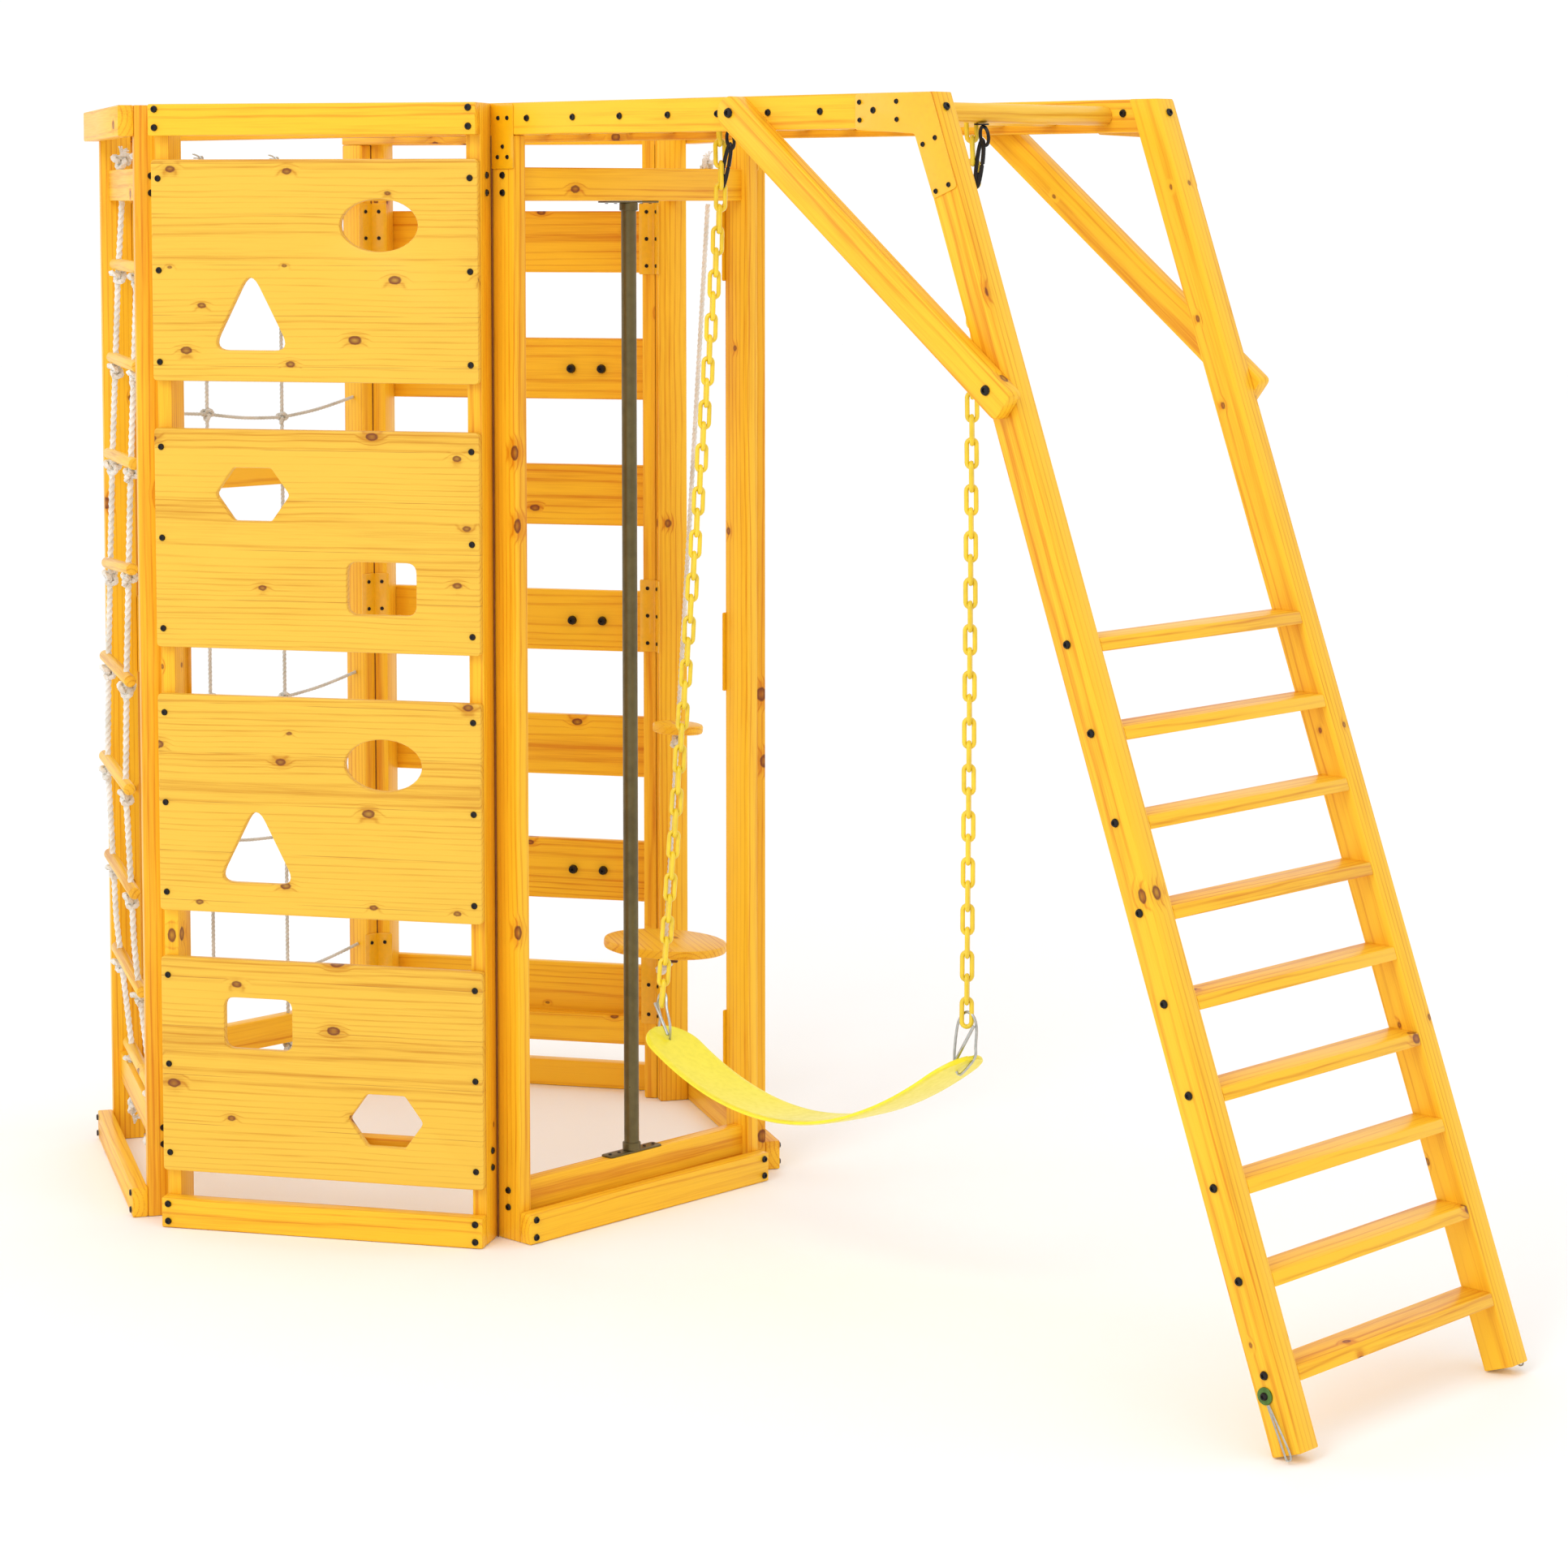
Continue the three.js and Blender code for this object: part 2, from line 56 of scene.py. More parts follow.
# ---- main sizes, in millimetres
MM = 0.001  # metres
GAP = 0.3  # the clearance between neighbouring pieces
SIDE, HEIGHT = 600, 1990  # one side of the tower, and the height of the whole set
POST, DEPTH, BOARD, SHEET = 27, 58, 28, 18
MIDDLE = -DEPTH / 2  # the middle of a side frame's thickness
FACE = -DEPTH - GAP - SHEET  # the outer face of the panels and planks
RAIL_HIGH, UPPER_RAIL, UNDER_RAIL = 58, 1822, 1821.7
BEAM_LOW, BEAM_START = 1935, -577.6
HALF_TRACK = 300
RUNGS_X, RUNG_Z = [-419 + 114.5 * k for k in range(17)], 1963
STEPS_Z, STEP_THICK = [108 + 129.7 * k for k in range(9)], 20
BRACE_ENDS = ((1123, 1963), (1669, 1536))
LEAN = radians(20)
HANGING = radians(3.5)  # both swings rest this far off upright
SWING_PIVOT = (-48, 1926)
LYING = Matrix(((1, 0, 0, 0), (0, 0, -1, 0), (0, 1, 0, 0), (0, 0, 0, 1)))  # lays an upright board flat


def in_frame(points):
    """Millimetres from the tower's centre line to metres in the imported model's frame."""
    return [(p.x * MM + TOWER_X, p.y * MM, p.z * MM) for p in points]


def add_to_scene(name, data):
    """An object around a mesh, lamp or camera."""
    made = bpy.data.objects.new(name, data)
    bpy.context.scene.collection.objects.link(made)
    return made


# ---- camera
def make_camera():
    camera = add_to_scene("camera", bpy.data.cameras.new("camera"))
    camera.location = (5.3362 + TOWER_X, -4.6001, 1.8235)
    camera.rotation_euler = (radians(85.564), 0, radians(43.756))
    camera.data.lens = 85.31
    camera.data.shift_y = -0.1886
    bpy.context.scene.camera = camera


make_camera()


# ---- node trees
def operator(operation, reflected=False):
    """A method that adds one Math node."""

    def method(self, *others):
        values = (*others, self) if reflected else (self, *others)
        return self.wiring.node("ShaderNodeMath", {"operation": operation}, dict(enumerate(values)))

    return method


class Value:
    """One output in a node tree. Arithmetic on it adds Math nodes."""

    __add__ = __radd__ = operator("ADD")
    __sub__, __rsub__ = operator("SUBTRACT"), operator("SUBTRACT", reflected=True)
    __mul__ = __rmul__ = operator("MULTIPLY")
    __truediv__, __pow__ = operator("DIVIDE"), operator("POWER")
    __mod__, __lt__ = operator("MODULO"), operator("LESS_THAN")
    sine, root, size = operator("SINE"), operator("SQRT"), operator("ABSOLUTE")
    floor, fraction = operator("FLOOR"), operator("FRACT")

    def __init__(self, wiring, socket):
        self.wiring = wiring
        self.socket = socket

    def beside(self, output):
        """Another output of the same node."""
        return Value(self.wiring, self.socket.node.outputs[output])

    def fade(self, start, end):
        """0 before start and 1 after end, with a smooth change between; start may be the larger."""
        settings = {"interpolation_type": "SMOOTHSTEP", "clamp": True}
        reach = {"Value": self, "From Min": start, "From Max": end}
        return self.wiring.node("ShaderNodeMapRange", settings, reach)


class Wiring:
    """Adds nodes to one tree."""

    def __init__(self, tree):
        self.tree = tree

    def node(self, kind, settings=None, inputs=None, output=0):
        made = self.tree.nodes.new(kind)
        for name, value in (settings or {}).items():
            setattr(made, name, value)
        for name, value in (inputs or {}).items():
            self.feed(made.inputs[name], value)
        return Value(self, made.outputs[output])

    def feed(self, socket, value):
        if isinstance(value, Value):
            self.tree.links.new(value.socket, socket)
        else:
            socket.default_value = value


class Finish(Wiring):
    """A material around one Principled surface."""

    def __init__(self, name, colour, roughness, **constants):
        self.material = bpy.data.materials.new(name)
        self.material.use_nodes = True
        super().__init__(self.material.node_tree)
        self.surface = next(n for n in self.tree.nodes if n.type == "BSDF_PRINCIPLED")
        self.set("Base Color", (*colour, 1))
        self.set("Roughness", roughness)
        for name, value in constants.items():
            self.set(name.replace("_", " "), value)

    def set(self, socket, value):
        self.feed(self.surface.inputs[socket], value)

    def mix(self, factor, first, second, blend="MIX"):
        settings = {"data_type": "RGBA", "blend_type": blend, "clamp_result": True}
        colours = [c if isinstance(c, Value) else (*c, 1) for c in (first, second)]
        return self.node("ShaderNodeMix", settings, {0: factor, 6: colours[0], 7: colours[1]}, 2)

    def noise(self, place, scale, detail=2.0, stretch=None):
        if stretch:
            place = self.node("ShaderNodeMapping", None, {"Vector": place, "Scale": stretch})
        inputs = {"Vector": place, "Scale": scale, "Detail": detail}
        return self.node("ShaderNodeTexNoise", None, inputs)

    def bump(self, height, strength, distance=0.001):
        inputs = {"Height": height, "Strength": strength, "Distance": distance}
        self.set("Normal", self.node("ShaderNodeBump", None, inputs))

    def object_place(self):
        return self.node("ShaderNodeTexCoord", None, None, "Object")

    def own_place(self):
        return self.node("ShaderNodeAttribute", {"attribute_name": "grain"}, None, "Vector")


# ---- finishes
def pine(name, pale, deep, strip=None, knots=0.5, depth=0.035):
    """Varnished pine. Each piece's own attribute gives the place along, across and into the grain."""
    wood = Finish(name, pale, 0.4, Coat_Weight=0.1, Coat_Roughness=0.25, Specular_IOR_Level=0.25)
    place = wood.own_place()
    along = wood.node("ShaderNodeSeparateXYZ", None, {0: place})
    across, into = along.beside(1), along.beside(2)
    tone = wood.noise(place, 1.0, 2.0, (1.1, 22, 22))
    wander = wood.noise(place, 1.0, 3.0, (1.6, 5, 5)) - 0.5
    streaks = wood.noise(place, 1.0, 3.0, (9, 420, 420))
    offset, seam = across, None
    if strip:
        number, within = (across / strip).floor(), (across / strip).fraction()
        lot = wood.node("ShaderNodeTexWhiteNoise", {"noise_dimensions": "1D"}, {"W": number})
        offset = within * strip - strip * 0.5 + (lot - 0.5) * 0.16
        edge = (within - 0.5).size().fade(0.488, 0.5)
        seam = edge * wood.noise(place, 1.0, 2.0, (5, 1, 1)).fade(0.4, 0.56)
        tone = tone * 0.75 + lot * 0.25

    # a few knots, with the rings swelling round each
    spread = wood.node("ShaderNodeCombineXYZ", None, {0: along, 1: across + into * 0.8})
    cell = wood.node("ShaderNodeMapping", None, {"Vector": spread, "Scale": (5.6, 9.0, 1.0)})
    flat = {"voronoi_dimensions": "2D", "feature": "F1"}
    nearest = wood.node("ShaderNodeTexVoronoi", flat, {"Vector": cell, "Scale": 1.0})
    red = wood.node("ShaderNodeSeparateColor", None, {0: nearest.beside(1)})
    green = red.beside(1)
    here = red < knots
    ragged = nearest + wood.noise(place, 160.0) * 0.02
    reach = 0.044 + green * 0.05
    knot = (reach - ragged).fade(0.0, 0.022) * here
    halo = (reach * 2.4 - ragged).fade(0.0, 0.12) * here

    # growth rings cut by the face
    side = offset + wander * 0.03
    radius = (side * side + (into + depth) * (into + depth)).root()
    rings = (radius * 700 + halo * 5 + wander * 3).sine() * 0.5 + 0.5
    lines = rings ** 5
    shade = lines * 0.36 + (streaks - 0.5) * 0.9 + (tone - 0.5) * 1.3 + halo * 0.35 + 0.16
    colour = wood.mix(shade.fade(0.0, 1.0), pale, deep)
    if strip:
        colour = wood.mix(seam * 0.55, colour, (0.33, 0.09, 0.012))
    core = ((reach - ragged) / reach).fade(0.15, 0.9)
    colour = wood.mix(knot * (0.92 - core * 0.42), colour, (0.15, 0.022, 0.008))
    wood.set("Base Color", colour)
    wood.set("Roughness", 0.33 + streaks * 0.16)
    wood.bump(lines * 0.35 + streaks * 0.5 - knot * 0.5, 0.12)
    return wood.material


def plain(name, colour, roughness, grain=90.0, variation=0.1, **constants):
    """Moulded plastic, paint or metal with faint mottling and wear in its gloss."""
    made = Finish(name, colour, roughness, **constants)
    place = made.object_place()
    mottle = made.noise(place, grain, 4.0)
    broad = made.noise(place, 6.0, 2.0)
    darker = tuple(c * (1 - 2.2 * variation) for c in colour)
    made.set("Base Color", made.mix((broad * 0.5 + mottle * 0.5).fade(0.35, 0.7), colour, darker))
    made.set("Roughness", roughness + (mottle - 0.5) * 0.25)
    made.bump(mottle, 0.08)
    return made.material


def laid_fibre(name, colour, dark):
    """Twisted rope: fine fibres along each strand, soiled a little in the grooves."""
    made = Finish(name, colour, 0.9, Sheen_Weight=0.2, Sheen_Roughness=0.5)
    place = made.own_place()
    fibre = made.noise(place, 1.0, 3.0, (60, 14, 14))
    soil = made.noise(made.object_place(), 22.0, 3.0)
    made.set("Base Color", made.mix((fibre * 0.6 + soil * 0.6).fade(0.45, 0.85), colour, dark))
    made.bump(fibre, 0.3)
    return made.material


POST_PINE = pine("post_pine", (0.96, 0.54, 0.022), (0.68, 0.22, 0.002), knots=0.42)
PANEL_PINE = pine("panel_pine", (0.85, 0.51, 0.052), (0.58, 0.24, 0.010), strip=0.088, knots=0.6)
RUNG_PINE = pine("rung_pine", (0.92, 0.55, 0.045), (0.64, 0.25, 0.006), knots=0.15, depth=0.01)
DARK_WOOD = pine("dark_wood", (0.13, 0.05, 0.02), (0.05, 0.018, 0.008), knots=0.0)
# the dark colour of the corner strips: painted shadow in the narrow gaps between neighbouring posts
CORNER_SHADOW_PAINT = plain("seam_shade", (0.26, 0.085, 0.016), 0.8, 60.0, 0.1)
ROPE_WHITE = laid_fibre("rope_white", (0.92, 0.90, 0.85), (0.66, 0.62, 0.52))
ROPE_GREY = laid_fibre("rope_grey", (0.72, 0.71, 0.66), (0.46, 0.45, 0.39))
BELT_YELLOW = plain("belt_yellow", (0.92, 0.80, 0.01), 0.38, variation=0.05, Coat_Weight=0.15)
CHAIN_YELLOW = plain("chain_yellow", (0.92, 0.66, 0.02), 0.35, 60.0, 0.08, Coat_Weight=0.3)
PLATE_YELLOW = plain("plate_yellow", (0.90, 0.47, 0.004), 0.34, 120.0, 0.05, Coat_Weight=0.4)
BRONZE = plain("bronze_paint", (0.14, 0.11, 0.042), 0.33, 50.0, 0.14, Metallic=0.55)
BLACK_STEEL = plain("black_steel", (0.022, 0.02, 0.02), 0.36, 200.0, 0.1, Metallic=0.7)
BRIGHT_ZINC = plain("bright_zinc", (0.55, 0.56, 0.54), 0.32, 150.0, 0.12, Metallic=1.0)
GREEN_ZINC = plain("green_zinc", (0.13, 0.26, 0.06), 0.3, 150.0, 0.2, Metallic=0.8)
HOLD_COLOURS = [
    plain("hold_" + name, colour, 0.75, 160.0, 0.12)
    for name, *colour in (("red", 0.42, 0.03, 0.02), ("blue", 0.02, 0.10, 0.36), ("green", 0.05, 0.28, 0.05))
]


# ---- meshes
# a rounded edge: how far it is set back, and its depth, both over its radius
EDGE = ((1.0, 0.0), (0.293, 0.293), (0.0, 1.0))


def rounded(corners, radius, steps=2):
    """An outline whose corners are turned into short curves."""
    outline = []
    for number, corner in enumerate(corners):
        middle = Vector(corner)
        before = (Vector(corners[number - 1]) - middle).normalized()
        after = (Vector(corners[(number + 1) % len(corners)]) - middle).normalized()
        reach = radius / tan(before.angle(after) / 2)
        start, end = middle + before * reach, middle + after * reach
        for step in range(steps + 1):
            part = step / steps
            point = start.lerp(middle, part).lerp(middle.lerp(end, part), part)
            outline.append((point.x, point.y))
    return outline


def oblong(x, z):
    """A rectangle's corners, from its two ranges."""
    return [(x[0], z[0]), (x[1], z[0]), (x[1], z[1]), (x[0], z[1])]


def turned_area(loop):
    x, y = np.asarray(loop, float).T
    return float(np.sum(x * np.roll(y, -1) - np.roll(x, -1) * y)) / 2


def wound(loop, anticlockwise):
    return list(loop) if (turned_area(loop) > 0) == anticlockwise else list(loop)[::-1]


def inset(loop, by):
    """Moves a closed outline's edges to its left, which is into the board."""
    loop = np.asarray(loop, float)
    before = loop - np.roll(loop, 1, axis=0)
    after = np.roll(loop, -1, axis=0) - loop
    before /= np.linalg.norm(before, axis=1)[:, None]
    after /= np.linalg.norm(after, axis=1)[:, None]
    left = [np.stack([-v[:, 1], v[:, 0]], axis=1) for v in (before, after)]
    corner = (left[0] + left[1]) / (1 + np.sum(left[0] * left[1], axis=1))[:, None]
    return loop + by * corner


def side_place(number):
    """Where side number of the tower is: X along it, Y into the tower, Z up."""
    around = radians(60 * (number - 1))
    spot = Matrix.Translation((SIDE * sin(around), -SIDE * cos(around), 0))
    return spot @ Matrix.Rotation(around + pi / 6, 4, "Z")


class Piece:
    """A mesh being built, in millimetres from the tower's centre line."""

    def __init__(self, name):
        self.name = name
        self.points, self.grain = [], []
        self.faces, self.smooth, self.paint = [], [], []

    def add(self, points, faces, place=None, grain=None, smooth=False, paint=0):
        place = place or Matrix()
        start = len(self.points)
        self.points.extend(place @ Vector(p) for p in points)
        self.grain.extend(points if grain is None else grain)
        self.faces.extend(tuple(start + k for k in face) for face in faces)
        self.smooth.extend([smooth] * len(faces))
        self.paint.extend([paint] * len(faces))

    def slab(self, outline, front, back, edge=2.5, place=None, holes=(), turn=0.0, paint=0):
        """A board from an outline in X and Z, from y = front to y = back. turn is the grain's slope."""
        loops = [wound(outline, True)] + [wound(hole, False) for hole in holes]
        stages = [(a * edge, front + b * edge) for a, b in EDGE]
        stages += [(a * edge, back - b * edge) for a, b in reversed(EDGE)]
        points, faces, first = [], [], 0
        caps = [[], []]
        for loop in loops:
            count = len(loop)
            for back_set, y in stages:
                points.extend((x, y, z) for x, z in inset(loop, back_set))
            for stage in range(len(stages) - 1):
                low, high = first + stage * count, first + (stage + 1) * count
                for k in range(count):
                    n = (k + 1) % count
                    faces.append((low + k, high + k, high + n, low + n))
            caps[0].append(range(first, first + count))
            caps[1].append(range(first + (len(stages) - 1) * count, first + len(stages) * count))
            first += len(stages) * count
        for wanted, rims in zip((1, -1), caps):
            order = [k for rim in rims for k in rim]
            flat = [[Vector((points[k][0], points[k][2], 0)) for k in rim] for rim in rims]
            for triangle in tessellate_polygon(flat):
                corners = [order[k] for k in triangle]
                area = turned_area([(points[k][0], points[k][2]) for k in corners])
                if abs(area) > 1e-6:
                    faces.append(tuple(corners if area * wanted > 0 else corners[::-1]))
        at = np.asarray(points) * MM
        middle = (at.min(axis=0) + at.max(axis=0)) / 2
        at = at - middle
        level, steep = cos(turn), sin(turn)
        shift = (chance.uniform(0, 60), chance.uniform(-0.02, 0.02), chance.uniform(0, 0.02))
        along = at[:, 0] * level + at[:, 2] * steep + shift[0]
        across = at[:, 2] * level - at[:, 0] * steep + shift[1]
        grain = list(zip(along, across, at[:, 1] + shift[2]))
        self.add(points, faces, place, grain, False, paint)

    def board(self, x, y, z, upright=False, place=None):
        turn = pi / 2 if upright else 0.0
        self.slab(rounded(oblong(x, z), 2.5), *y, 2.5, place, (), turn)

    def turned(self, profile, start, end, sides=28, place=None, paint=0):
        """A round piece: (distance from start, radius) pairs, on the line from start to end."""
        start, end = Vector(start), Vector(end)
        spin = (end - start).to_track_quat("Z", "Y").to_matrix().to_4x4()
        spot = Matrix.Translation(start) @ spin
        points, grain, faces = [], [], []
        shift = (chance.uniform(0, 60), chance.uniform(-0.02, 0.02))
        for distance, radius in profile:
            for k in range(sides):
                angle = 2 * pi * k / sides
                points.append((radius * cos(angle), radius * sin(angle), distance))
                x, y, z = points[-1]
                grain.append((z * MM + shift[0], x * MM + shift[1], y * MM))
        for ring in range(len(profile) - 1):
            for k in range(sides):
                n = (k + 1) % sides
                low, high = ring * sides, (ring + 1) * sides
                faces.append((low + k, low + n, high + n, high + k))
        faces.append(tuple(range(sides))[::-1])
        last = (len(profile) - 1) * sides
        faces.append(tuple(range(last, last + sides)))
        self.add(points, faces, (place or Matrix()) @ spot, grain, True, paint)

    def rod(self, radius, start, end, edge, sides, place=None):
        length = (Vector(end) - Vector(start)).length
        profile = [(a, radius - b) for a, b in ((0, edge), (edge * 0.3, edge * 0.3), (edge, 0))]
        profile += [(length - a, r) for a, r in reversed(profile)]
        self.turned(profile, start, end, sides, place)

    def rope(self, path, radius, lay, strands=3, place=None, closed=False, step=None):
        """A twisted rope along a path, with a groove between its strands."""
        path = [Vector(p) for p in path]
        line = smooth_line(path, step or radius * 0.62, closed)
        count = len(line)
        around = max(8, strands * 4)
        up = Vector((0.31, 0.17, 0.93))
        points, grain, faces = [], [], []
        travelled = 0.0
        for k, here in enumerate(line):
            nearby = [line[k - 1] if k or closed else here, line[(k + 1) % count]]
            if not closed and k == count - 1:
                nearby[1] = here
            tangent = (nearby[1] - nearby[0]).normalized()
            up = (up - tangent * up.dot(tangent)).normalized()
            across = tangent.cross(up)
            travelled += (here - line[k - 1]).length if k else 0.0
            twist = 2 * pi * travelled / lay
            for j in range(around):
                angle = 2 * pi * j / around
                bulge = radius * (0.87 + 0.13 * cos(angle * strands))
                spoke = up * cos(angle + twist) + across * sin(angle + twist)
                points.append(here + spoke * bulge)
                grain.append((travelled * MM + j * 0.01, cos(angle), sin(angle)))
        for k in range(count if closed else count - 1):
            low, high = k * around, ((k + 1) % count) * around
            for j in range(around):
                n = (j + 1) % around
                faces.append((low + j, low + n, high + n, high + j))
        if not closed:
            faces.append(tuple(range(around))[::-1])
            faces.append(tuple(range((count - 1) * around, count * around)))
        self.add(points, faces, place, grain, True)

    def knot(self, middle, radius, place=None):
        """A tight overhand knot of the same rope."""
        spin = chance.uniform(0, 3)
        size = radius / 1.12
        turn = Matrix.Rotation(spin, 4, "Z") @ Matrix.Rotation(1.1 + 0.3 * sin(9 * spin), 4, "X")
        path = []
        for k in range(30):
            t = 2 * pi * k / 30
            x, y = sin(t) + 2 * sin(2 * t), cos(t) - 2 * cos(2 * t)
            path.append(turn @ Vector((x * size, y * size, -1.2 * sin(3 * t) * size)))
        path = [p + Vector(middle) for p in path]
        self.rope(path, radius, radius * 6.3, 3, place, True, radius * 0.8)

    def finish(self, materials, slot=None, stands_for=(), body="root"):
        mesh = bpy.data.meshes.new(self.name)
        mesh.from_pydata(in_frame(self.points), [], self.faces)
        mesh.polygons.foreach_set("use_smooth", self.smooth)
        for material in materials:
            mesh.materials.append(material)
        mesh.polygons.foreach_set("material_index", self.paint)
        grain = mesh.attributes.new("grain", "FLOAT_VECTOR", "POINT")
        grain.data.foreach_set("vector", np.asarray(self.grain, dtype=np.float32).ravel())
        mesh.update()
        mesh.set_sharp_from_angle(angle=radians(42))
        return place_piece(self.name, mesh, stands_for, body)


def place_piece(name, mesh, stands_for, body):
    piece = add_to_scene(name, mesh)
    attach(piece, body)
    if stands_for:
        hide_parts(*stands_for)
    return piece


def smooth_line(path, step, closed=False):
    """Points about a step apart on a smooth curve through a path."""
    line = []
    count = len(path)
    spans = count if closed else count - 1
    for k in range(spans):
        if closed:
            a, b, c, d = (path[(k + n) % count] for n in (-1, 0, 1, 2))
        else:
            a, b, c, d = (path[min(max(k + n, 0), count - 1)] for n in (-1, 0, 1, 2))
        pieces = max(1, round((c - b).length / step))
        for n in range(pieces):
            t = n / pieces
            bend = (2 * a - 5 * b + 4 * c - d) * t**2 + (3 * b - a - 3 * c + d) * t**3
            line.append(0.5 * (2 * b + (c - a) * t + bend))
    if not closed:
        line.append(path[-1].copy())
    return line


# ---- geometry-node trees
class Tree(Wiring):
    """A Geometry Nodes tree with named inputs, ending in Realize Instances and Set Material."""

    def __init__(self, name, **inputs):
        super().__init__(bpy.data.node_groups.new(name, "GeometryNodeTree"))
        sockets = self.tree.interface
        sockets.new_socket("Geometry", in_out="INPUT", socket_type="NodeSocketGeometry")
        sockets.new_socket("Geometry", in_out="OUTPUT", socket_type="NodeSocketGeometry")
        for label, kind in inputs.items():
            sockets.new_socket(label.replace("_", " "), in_out="INPUT", socket_type="NodeSocket" + kind)
        sockets.new_socket("Material", in_out="INPUT", socket_type="NodeSocketMaterial")
        self.entry = self.tree.nodes.new("NodeGroupInput")
        self.exit = self.tree.nodes.new("NodeGroupOutput")

    def given(self, label):
        return Value(self, self.entry.outputs[label])

    def close(self, geometry, smooth=True):
        real = self.node("GeometryNodeRealizeInstances", None, {"Geometry": geometry})
        shaded = self.node("GeometryNodeSetShadeSmooth", None, {"Geometry": real, "Shade Smooth": smooth})
        inputs = {"Geometry": shaded, "Material": self.given("Material")}
        self.feed(self.exit.inputs[0], self.node("GeometryNodeSetMaterial", None, inputs))

    def run(self, name, mesh, material, slot=None, stands_for=(), body="root", **values):
        """Grows a mesh with this tree and turns the result into a plain piece."""
        seed = add_to_scene(name + "_seed", mesh)
        modifier = seed.modifiers.new("grow", "NODES")
        modifier.node_group = self.tree
        values = {label.replace("_", " "): value for label, value in values.items()}
        values["Material"] = material
        for item in self.tree.interface.items_tree:
            if item.item_type == "SOCKET" and item.in_out == "INPUT" and item.name in values:
                modifier[item.identifier] = values[item.name]
        seed.update_tag()
        bpy.context.view_layer.update()
        graph = bpy.context.evaluated_depsgraph_get()
        grown = bpy.data.meshes.new_from_object(seed.evaluated_get(graph), depsgraph=graph)
        grown.name = name
        grown.materials.clear()
        grown.materials.append(material)
        bpy.data.objects.remove(seed)
        place_piece(name, grown, stands_for, body)


def fastener_tree():
    """A domed head with a hexagonal socket on every point, facing the point's own way."""
    tree = Tree("fasteners", Head_Radius="Float", Head_Height="Float", Socket_Share="Float")
    radius, height = tree.given("Head Radius"), tree.given("Head Height")
    cone = {"Vertices": 18, "Radius Top": radius * 0.8, "Radius Bottom": radius, "Depth": height}
    head = tree.node("GeometryNodeMeshCone", None, cone)
    rim = {"Mesh": head, "Selection": head.beside("Top"), "Offset Scale": 0.0}
    rim = tree.node("GeometryNodeExtrudeMesh", {"mode": "FACES"}, rim)
    top = rim.beside("Top")
    small = {"Geometry": rim, "Selection": top, "Scale": tree.given("Socket Share")}
    small = tree.node("GeometryNodeScaleElements", None, small)
    sunk = {"Mesh": small, "Selection": top, "Offset Scale": height * -0.6}
    sunk = tree.node("GeometryNodeExtrudeMesh", {"mode": "FACES"}, sunk)
    vector = {"data_type": "FLOAT_VECTOR"}
    facing = tree.node("GeometryNodeInputNamedAttribute", vector, {"Name": "facing"})
    size = tree.node("GeometryNodeInputNamedAttribute", {"data_type": "FLOAT"}, {"Name": "size"})
    turn = tree.node("FunctionNodeAlignRotationToVector", {"axis": "Z"}, {"Vector": facing})
    inputs = {"Points": tree.given("Geometry"), "Instance": sunk, "Rotation": turn, "Scale": size}
    tree.close(tree.node("GeometryNodeInstanceOnPoints", None, inputs), smooth=False)
    return tree


def chain_tree():
    """Oval links along a line, each turned a quarter from the last."""
    tree = Tree("chain", Link_Length="Float", Link_Width="Float", Wire="Float", Pitch="Float")
    width, wire = tree.given("Link Width"), tree.given("Wire")
    oval = {"Width": width - wire, "Height": tree.given("Link Length") - wire}
    outline = tree.node("GeometryNodeCurvePrimitiveQuadrilateral", {"mode": "RECTANGLE"}, oval)
    fillet = {"Curve": outline, "Radius": (width - wire) * 0.495, "Count": 4, "Limit Radius": True}
    outline = tree.node("GeometryNodeFilletCurve", {"mode": "POLY"}, fillet)
    section = {"Resolution": 7, "Radius": wire * 0.5}
    section = tree.node("GeometryNodeCurvePrimitiveCircle", {"mode": "RADIUS"}, section)
    link = tree.node("GeometryNodeCurveToMesh", None, {"Curve": outline, "Profile Curve": section})
    stand = {"Geometry": link, "Rotation": (pi / 2, 0, 0)}
    link = tree.node("GeometryNodeTransform", None, stand)
    line = tree.node("GeometryNodeMeshToCurve", None, {0: tree.given("Geometry")})
    evenly = {"Curve": line, "Length": tree.given("Pitch")}
    places = tree.node("GeometryNodeCurveToPoints", {"mode": "LENGTH"}, evenly)
    quarter = {"Axis": (0, 0, 1), "Angle": tree.node("GeometryNodeInputIndex") % 2.0 * (pi / 2)}
    about = tree.node("FunctionNodeAxisAngleToRotation", None, quarter)
    turn = {"Rotation": places.beside("Rotation"), "Rotate By": about}
    turn = tree.node("FunctionNodeRotateRotation", {"rotation_space": "LOCAL"}, turn)
    inputs = {"Points": places, "Instance": link, "Rotation": turn}
    tree.close(tree.node("GeometryNodeInstanceOnPoints", None, inputs))
    return tree


FASTENERS = fastener_tree()
CHAIN = chain_tree()
fittings = {}


def fasten(kind, spot, facing, size=1.0, place=None):
    """Notes one screw, bolt or nut: its head's seat and the way it faces."""
    place = place or Matrix()
    spot, facing = place @ Vector(spot), place.to_3x3() @ Vector(facing)
    fittings.setdefault(kind, []).append((spot, facing.normalized(), size))


